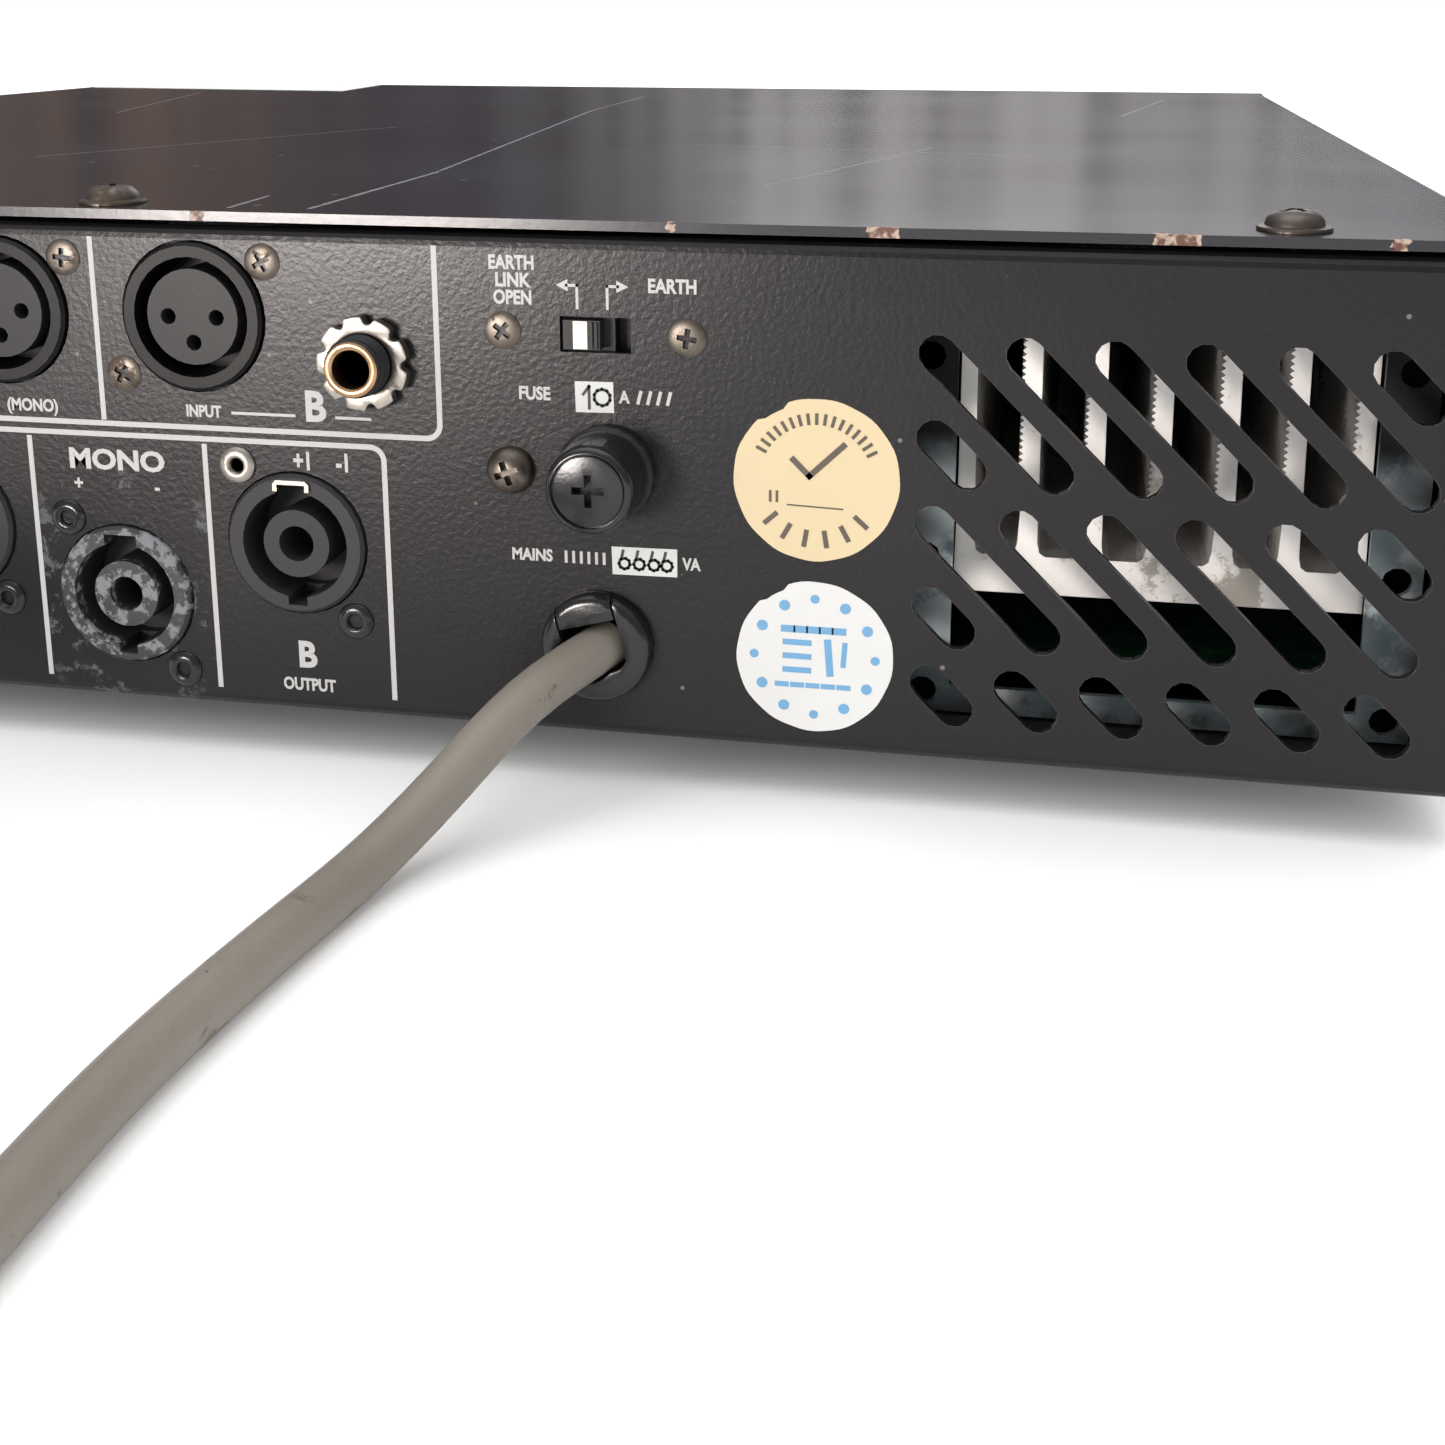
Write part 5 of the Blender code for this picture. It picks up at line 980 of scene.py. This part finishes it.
# %% [markdown]
# ## Latch, slider stripe and fuse cap
# Speaker socket B has a bright spring latch over its keyway. The slide switch has a cream stripe on one end, which
# moves with the slider. The fuse cap is a turned cup with a raised rim, a fine dark groove and a carved cross.
# %% Latch and slider stripe
latch_x, latch_z = -31.5, 28.4
latch_top = latch_z + 10.3
latch = [(latch_x + 3.0, latch_top - 1.6), (latch_x + 3.0, latch_top - 0.4), (latch_x + 2.4, latch_top + 0.2),
         (latch_x - 2.4, latch_top + 0.2), (latch_x - 3.0, latch_top - 0.4), (latch_x - 3.0, latch_top - 1.6),
         (latch_x - 2.3, latch_top - 1.6), (latch_x - 2.3, latch_top - 0.5), (latch_x + 2.3, latch_top - 0.5),
         (latch_x + 2.3, latch_top - 1.6)]
spring = cut_out("speaker_latch", on_rear(latch), 1.0 * MM, (0, REAR_Y + 0.45 * MM, PANEL_FOOT), REAR_TURN)
finished(spring, nickel)
low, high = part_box("ground_switch_slider")
stripe = cut_out("slider_stripe", [(-0.0011, -0.0021), (0.0011, -0.0021), (0.0011, 0.0021), (-0.0011, 0.0021)],
                 0.12 * MM, (-78.45 * MM, high.y + 0.01 * MM, (low.z + high.z) / 2), REAR_TURN)
soften(stripe, 0.05 * MM, 1)
finished(stripe, slider_cream, body="ground_slider")
ribs = [cut_out("rib", [(-0.00018, -0.0020), (0.00018, -0.0020), (0.00018, 0.0020), (-0.00018, 0.0020)], 0.35 * MM,
                (x * MM, high.y + 0.01 * MM, (low.z + high.z) / 2), REAR_TURN) for x in (-80.2, -80.9)]
finished(joined("slider_ribs", ribs), black_plastic, body="ground_slider")
print("latch and stripe")

# %% Fuse cap
low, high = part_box("fuse_cap")
middle = (low + high) / 2
reach = (high.x - low.x) / 2
tip = high.y - REAR_Y
steps = [(4.7 * MM, 2.9 * MM), (reach, 2.9 * MM), (reach, tip - 2.0 * MM), (reach - 0.06 * MM, tip - 1.2 * MM),
         (reach - 0.3 * MM, tip - 0.45 * MM), (reach - 0.75 * MM, tip - 0.05 * MM), (reach - 1.05 * MM, tip),
         (reach - 1.12 * MM, tip - 0.7 * MM), (reach - 1.38 * MM, tip - 0.7 * MM),
         (reach - 1.45 * MM, tip - 0.30 * MM), (reach - 1.7 * MM, tip - 0.22 * MM), (1.0 * MM, tip - 0.22 * MM)]
cap = turned("fuse_cap_cup", steps, 56)
carve(cap, cut_out("tool", plus_outline(2.45 * MM, 0.55 * MM), 4 * MM, (0, 0, tip - 2.4 * MM)))
put(cap, (middle.x, REAR_Y, middle.z), REAR_TURN)
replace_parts(finished(smooth(cap, 35), gloss_plastic, body="fuse_cap"), "fuse_cap")
print("fuse cap", len(cap.data.polygons), "faces")

# %% [markdown]
# ## Heat sinks
# Behind each vent stands an aluminium extrusion, seen on its sawn end. Each tall fin but the last has fine teeth
# along the upper part of one face, to give it more surface. One outline, cut out and extruded to the full length,
# makes it exactly as the die does.
# %% Toothed heat sinks
FINS, FIN_HALF, TOOTH, TOOTH_PITCH = 7, 1.5, 0.62, 1.02
for letter in "ab":
    low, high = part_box("heat_sink_" + letter)
    width, base = (high.x - low.x) / MM, 6.0
    tall = (high.z - low.z) / MM
    step = (width - 2 * FIN_HALF) / (FINS - 1)
    teeth_from = base + 9.0
    outline = [(0.0, 0.0)]
    for fin in range(FINS):
        centre = FIN_HALF + fin * step
        left_face, right_face = [], []
        if fin:
            left_face += [(centre - FIN_HALF - 1.2, base), (centre - FIN_HALF - 0.35, base + 0.6),
                          (centre - FIN_HALF, base + 2.2)]
        count = int((tall - 0.6 - teeth_from) / TOOTH_PITCH)
        for tooth in range(count):
            at = teeth_from + tooth * TOOTH_PITCH
            out = 0.0 if fin == FINS - 1 else TOOTH
            right_face += [(centre + FIN_HALF - 0.3, at), (centre + FIN_HALF - 0.3 + out, at + TOOTH_PITCH / 2)]
        right_face = right_face[::-1]
        if fin < FINS - 1:
            right_face += [(centre + FIN_HALF, base + 2.2), (centre + FIN_HALF + 0.35, base + 0.6),
                           (centre + FIN_HALF + 1.2, base)]
        outline += left_face + [(centre - FIN_HALF + 0.4, tall), (centre + FIN_HALF - 0.4, tall)] + right_face
    outline.append((width, 0.0))
    outline = [(-(x - width / 2) * MM, z * MM) for x, z in outline]
    sink = cut_out("toothed_heat_sink_" + letter, outline, high.y - low.y,
                   ((low.x + high.x) / 2, low.y, low.z), REAR_TURN)
    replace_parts(finished(sink, aluminium), "heat_sink_" + letter)
print("heat sinks", len(sink.data.polygons), "faces each")

# %% [markdown]
# ## Strain relief and panel edges
# The bushing is moulded nylon, so its edges are rounded. A copy of each CAD half is merged, and its sharp edges are
# softened with a bevel. The rear panel gets the same, so that every slot has a fine rounded rim; these rims are
# painted a lighter grey, a painted highlight for their lit edges.
# %% Rounded bushing halves


def rounded_copy(node, name, width, segments=2, angle=35, smoothed=True, rim_finish=None):
    """A merged copy of a CAD part with softened edges, which stands for it."""
    piece = nodes[node].copy()
    piece.data = nodes[node].data.copy()
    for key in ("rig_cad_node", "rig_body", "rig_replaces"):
        if key in piece:
            del piece[key]
    piece.name = name
    piece.parent = None
    piece.matrix_world.identity()
    bpy.context.collection.objects.link(piece)
    edit(piece)
    bpy.ops.mesh.remove_doubles(threshold=0.00002)
    bpy.ops.mesh.dissolve_limited(angle_limit=math.radians(2))
    leave(outward=True)
    if rim_finish:
        piece.data.materials.append(rim_finish)
    soften(piece, width, segments, angle, 1 if rim_finish else -1)
    return smooth(piece, 50) if smoothed else piece


for half in ("body", "wedge"):
    piece = rounded_copy("strain_relief_" + half, "bushing_" + half, 0.35 * MM)
    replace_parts(finished(piece, gloss_plastic), "strain_relief_" + half)
# The panel's bevelled rims get the lighter rim paint, a painted highlight for the lit slot edges.
panel = rounded_copy("rear_panel", "rear_panel_softened", 0.38 * MM, 2, 50, False, highlight_rim_paint)
pick(panel)
bpy.ops.object.shade_flat()
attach(panel, "chassis")
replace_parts(panel, "rear_panel")
print("bushing halves and rear panel rounded,", len(panel.data.polygons), "faces")

# %% [markdown]
# ## Label on the cover, and plug pins
# A pale worn label lies near the front of the cover. The plug's two pins are nickel.
# %% Cover label and plug pins
corners = [(106, -150), (206, -158), (207, -197), (110, -196)]
cover_label = cut_out("cover_label", [(x * MM, y * MM) for x, y in corners], 0.12 * MM, (0, 0, COVER_TOP))
finished(cover_label, paper_pale)
low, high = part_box("mains_plug")
middle = (low + high) / 2
pins = copies(turned("pin", [(2.5 * MM, 0), (2.5 * MM, 17.2 * MM), (2.2 * MM, 18.6 * MM), (1.2 * MM, 19.2 * MM)], 20),
              [(middle.x + side * 9.5 * MM, low.y + 19.1 * MM, middle.z) for side in (1, -1)], FRONT_TURN)
plug_pins = finished(smooth(joined("plug_pins", pins), 40), nickel)
print("pins", [round(v / MM, 1) for v in plug_pins.dimensions])

# %% [markdown]
# ## Front marks
# The front carries two gain knobs and a rocker. Each knob gets a white pointer that turns with it and a ring of
# scale bars behind it, and each channel gets a green and a red light.
# %% Pointers, scales and lights
SCALE_BARS = 11
front_marks, lights = [], {"green": [], "red": []}
for letter in "ab":
    low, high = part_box("gain_knob_" + letter)
    spot, reach = (low + high) / 2, (high.x - low.x) / 2
    pointer = cut_out("gain_pointer_" + letter, bar((0, reach * 0.35), (0, reach * 0.86), 1.1 * MM), 0.06 * MM,
                      (spot.x, low.y + 0.06 * MM, spot.z), FRONT_TURN)
    soften(pointer, 0.02 * MM, 1)
    finished(pointer, print_white, body="gain_" + letter)
    for i in range(SCALE_BARS):
        angle = math.radians(240 - 30 * i)
        near_end, far_end = [(reach + gap * MM) * Vector((math.cos(angle), math.sin(angle))) for gap in (2.0, 3.8)]
        front_marks.append(cut_out("scale", bar(near_end, far_end, 0.6 * MM), PRINT,
                                   (spot.x, FRONT_Y, spot.z), FRONT_TURN))
    for colour, aside in (("green", -5.0), ("red", 5.0)):
        dome = turned("dome", [(1.5 * MM, 0), (1.5 * MM, 0.6 * MM), (1.3 * MM, 1.2 * MM), (0.8 * MM, 1.6 * MM),
                               (0.2 * MM, 1.75 * MM)], 20)
        lights[colour].append(put(dome, (spot.x + aside * MM, FRONT_Y, spot.z + reach + 9.0 * MM), FRONT_TURN))
finished(joined("front_scales", front_marks), print_white)
finished(smooth(joined("lights_green", lights["green"]), 50), light_green)
finished(smooth(joined("lights_red", lights["red"]), 50), light_red)
print("front", len(front_marks), "scale bars")

# %% [markdown]
# ## The mains lead
# The lead is one length of round cable: it leaves the split bushing, drops to the floor in one easy bend, and runs
# away from the casing. The rest is wound in nine turns, three wide and three high, and ends in its plug. A curve
# with a round bevel is the way to make it, because its line is the cable's real centreline.
# %% Route and coil of the lead
LEAD_DIAMETER = 7.4 * MM
ON_FLOOR = 3.75        # height of the lead's middle where it lies, in millimetres
LEAD_ROUTE = (
    (-81.8, -1.6, 23.1), (-80.2, 1.0, 22.4), (-72.7, 13.0, 18.4), (-65.3, 26.0, 11.0), (-58.9, 40.0, 4.9),
    (-55.6, 55.0, ON_FLOOR), (-52.6, 75.0, ON_FLOOR), (-50.5, 97.0, ON_FLOOR), (-50.2, 118.0, ON_FLOOR),
    (-49.8, 140.0, ON_FLOOR), (-49.3, 157.0, ON_FLOOR),
)
COIL_CENTRE = Vector((7.0, 160.6))
COIL_MIDDLE = 41.0
COIL_RISE = 6.9
COIL_CELLS = ((1, 0), (1, 1), (0, 1), (0, 0), (-1, 0), (-1, 1), (-1, 2), (0, 2), (1, 2))
TURN_POINTS = 28
PITCH = LEAD_DIAMETER / MM


def smooth_curve(points, step):
    """Points a step apart along a natural cubic curve through the given ones."""
    points = np.array(points, dtype=float)
    knots = np.concatenate(([0.0], np.cumsum(np.linalg.norm(np.diff(points, axis=0), axis=1))))
    count = len(points)
    gaps = np.diff(knots)
    system = np.eye(count)
    right = np.zeros_like(points)
    for i in range(1, count - 1):
        system[i, i - 1:i + 2] = gaps[i - 1], 2 * (gaps[i - 1] + gaps[i]), gaps[i]
        right[i] = 6 * ((points[i + 1] - points[i]) / gaps[i] - (points[i] - points[i - 1]) / gaps[i - 1])
    bend = np.linalg.solve(system, right)
    made = []
    for at in np.linspace(0, knots[-1], max(2, round(knots[-1] / step) + 1)):
        i = min(count - 2, int(np.searchsorted(knots, at, side="right")) - 1)
        a, b = (knots[i + 1] - at) / gaps[i], (at - knots[i]) / gaps[i]
        made.append(a * points[i] + b * points[i + 1]
                    + ((a ** 3 - a) * bend[i] + (b ** 3 - b) * bend[i + 1]) * gaps[i] ** 2 / 6)
    return made


line = [tuple(p) for p in smooth_curve(LEAD_ROUTE, 4.6)]
entry = COIL_MIDDLE + 2 * PITCH + 0.5
total = len(COIL_CELLS) * TURN_POINTS
for i in range(3, total + 1):
    turns = i / TURN_POINTS
    whole = min(int(turns), len(COIL_CELLS) - 1)
    column, layer = COIL_CELLS[whole]
    onward = COIL_CELLS[min(whole + 1, len(COIL_CELLS) - 1)]
    share = min(1.0, max(0.0, (turns - whole - 0.62) / 0.38)) if whole < len(COIL_CELLS) - 1 else 0.0
    share = share * share * (3 - 2 * share)
    radius = COIL_MIDDLE + PITCH * (column + (onward[0] - column) * share)
    height = ON_FLOOR + COIL_RISE * (layer + (onward[1] - layer) * share)
    if turns < 0.45:
        ease = 1 - turns / 0.45
        radius += (entry - COIL_MIDDLE - PITCH) * ease * ease * (3 - 2 * ease)
    if turns >= len(COIL_CELLS) - 0.5:
        break
    angle = math.pi - 2 * math.pi * turns
    line.append((COIL_CENTRE.x + radius * math.cos(angle), COIL_CENTRE.y + radius * math.sin(angle), height))
plug_low, plug_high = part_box("mains_plug")
plug_x = (plug_low.x + plug_high.x) / 2 / MM
neck_end = (plug_high.y - REAR_Y) / MM
plug_z = (plug_low.z + plug_high.z) / 2 / MM
last = line[-1]
for share in (0.22, 0.42, 0.62, 0.82, 1.0):
    ease = share * share * (3 - 2 * share)
    line.append((last[0] + (plug_x - last[0]) * ease, last[1] + (neck_end - 1.0 - last[1]) * share,
                 last[2] + (plug_z - last[2]) * ease))
lead_data = bpy.data.curves.new("mains_lead", "CURVE")
lead_data.dimensions = "3D"
lead_data.bevel_depth = LEAD_DIAMETER / 2
lead_data.bevel_resolution = 5
lead_data.use_fill_caps = True
spline = lead_data.splines.new("POLY")
spline.points.add(len(line) - 1)
for point, (x, out, up) in zip(spline.points, line):
    point.co = (x * MM, REAR_Y + out * MM, up * MM, 1.0)
spline.use_smooth = True
mains_lead = bpy.data.objects.new("mains_lead", lead_data)
bpy.context.collection.objects.link(mains_lead)
lead_data.materials.append(cord_grey)
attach(mains_lead, "chassis")
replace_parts(mains_lead, "mains_cord", "cord_coil")

# %% [markdown]
# ## Floor and light
# A plain pale floor and soft light from all sides, brighter from above and behind the camera, as in a small
# studio. The glossy cover mirrors what stands behind the amplifier, so the surroundings are dimmer there.
# %% Floor
let_go()
bpy.ops.mesh.primitive_plane_add(size=60.0, location=(0, 0, 0))
floor = bpy.context.object
floor.name = "studio_floor"
floor_finish, tree, shader, where = new_finish("pale_floor", 0.85, Specular_IOR_Level=0.1)
cloud = add(tree, "ShaderNodeTexNoise", Vector=where, Scale=3.0).outputs[0]
fill(shader.inputs["Base Color"], blend(cloud, (0.955, 0.955, 0.955), (0.965, 0.965, 0.965)))
away = add(tree, "ShaderNodeVectorMath", {"operation": "LENGTH"}, in0=where).outputs["Value"]
# The floor glows faintly near the amplifier and more strongly farther away: painted light that whitens the far floor.
shader.inputs["Emission Strength"].default_value = 1.0
fill(shader.inputs["Emission Color"], blend(ramp(away, 0.6, 2.5), (0.06, 0.06, 0.06), (0.41, 0.41, 0.41)))
floor.data.materials.append(floor_finish)
print("floor", tuple(floor.dimensions))

# %% Surroundings and lamps
world = bpy.data.worlds.new("studio")
bpy.context.scene.world = world
world.use_nodes = True
tree = world.node_tree
tree.nodes.clear()
facing = add(tree, "ShaderNodeSeparateXYZ", Vector=tree.nodes.new("ShaderNodeTexCoord").outputs["Generated"]).outputs
rise = ramp(facing[2], 0.10, 0.85)
behind = ramp(facing[1], -0.1, 0.6)
streak = add(tree, "ShaderNodeTexNoise", {"noise_dimensions": "1D"}, W=times(facing[0], 9.0),
             Detail=3.0).outputs[0]
across = add(tree, "ShaderNodeMapRange", Value=facing[0], From_Min=-0.3, From_Max=0.6).outputs[0]
bands = tree.nodes.new("ShaderNodeValToRGB")
tree.links.new(across, bands.inputs[0])
bands.color_ramp.interpolation = "B_SPLINE"
ROOM_BANDS = ((0.0, (0.16, 0.16, 0.18)), (0.18, (0.24, 0.23, 0.25)), (0.38, (0.52, 0.47, 0.47)),
              (0.55, (0.40, 0.38, 0.38)), (0.66, (0.07, 0.06, 0.07)), (0.76, (0.05, 0.042, 0.05)),
              (0.86, (0.22, 0.14, 0.09)), (1.0, (0.16, 0.12, 0.10)))
for i, (at, tint) in enumerate(ROOM_BANDS):
    stop = bands.color_ramp.elements[i] if i < 2 else bands.color_ramp.elements.new(at)
    stop.position = at
    stop.color = (*tint, 1.0)
mirrored = blend(ramp(streak, 0.35, 0.60), (0.05, 0.04, 0.045), bands.outputs[0])
mirrored = blend(rise, mirrored, (0.62, 0.64, 0.72))
mirrored = blend(times(behind, 0.5), mirrored, (0.30, 0.29, 0.29))
rays = tree.nodes.new("ShaderNodeLightPath").outputs
seen = rays["Is Camera Ray"]
room = blend(rays["Is Glossy Ray"], (1.0, 1.0, 1.0), mirrored)
around_light = add(tree, "ShaderNodeBackground", Color=room, Strength=1.0)
backdrop = add(tree, "ShaderNodeBackground", Color=(1.0, 1.0, 1.0, 1.0), Strength=1.0)
chooser = add(tree, "ShaderNodeMixShader", in0=seen, in1=around_light.outputs[0], in2=backdrop.outputs[0])
world_output = tree.nodes.new("ShaderNodeOutputWorld")
tree.links.new(chooser.outputs[0], world_output.inputs["Surface"])


def softbox(name, place, target, size, power, tint=(1, 1, 1), mirrored_only=False, mirrored=True):
    lamp_data = bpy.data.lights.new(name, "AREA")
    lamp_data.shape = "RECTANGLE"
    lamp_data.size, lamp_data.size_y = size
    lamp_data.energy = power
    lamp_data.color = tint
    lamp = bpy.data.objects.new(name, lamp_data)
    lamp.location = place
    lamp.rotation_euler = (Vector(target) - Vector(place)).to_track_quat("-Z", "Y").to_euler()
    lamp.visible_diffuse = not mirrored_only
    lamp.visible_glossy = mirrored
    bpy.context.collection.objects.link(lamp)
    return lamp


softbox("overhead", (0.1, 0.3, 1.7), (0, 0.1, 0), (1.8, 1.8), 14.0)
softbox("rear_window", (0.22, 0.80, 0.085), (-0.045, 0.204, 0.07), (0.20, 0.17), 4.6, (1.0, 0.92, 0.88), True)
softbox("rear_left", (0.9, 1.2, 0.6), (-0.05, 0.2, 0.06), (0.6, 0.6), 4.5, (1.0, 0.96, 0.93), mirrored=False)
softbox("front_fill", (-0.3, -1.8, 1.0), (0, 0, 0), (1.4, 1.0), 8.0)
view_settings = bpy.context.scene.view_settings
view_settings.view_transform = "Standard"
view_settings.look = "None"
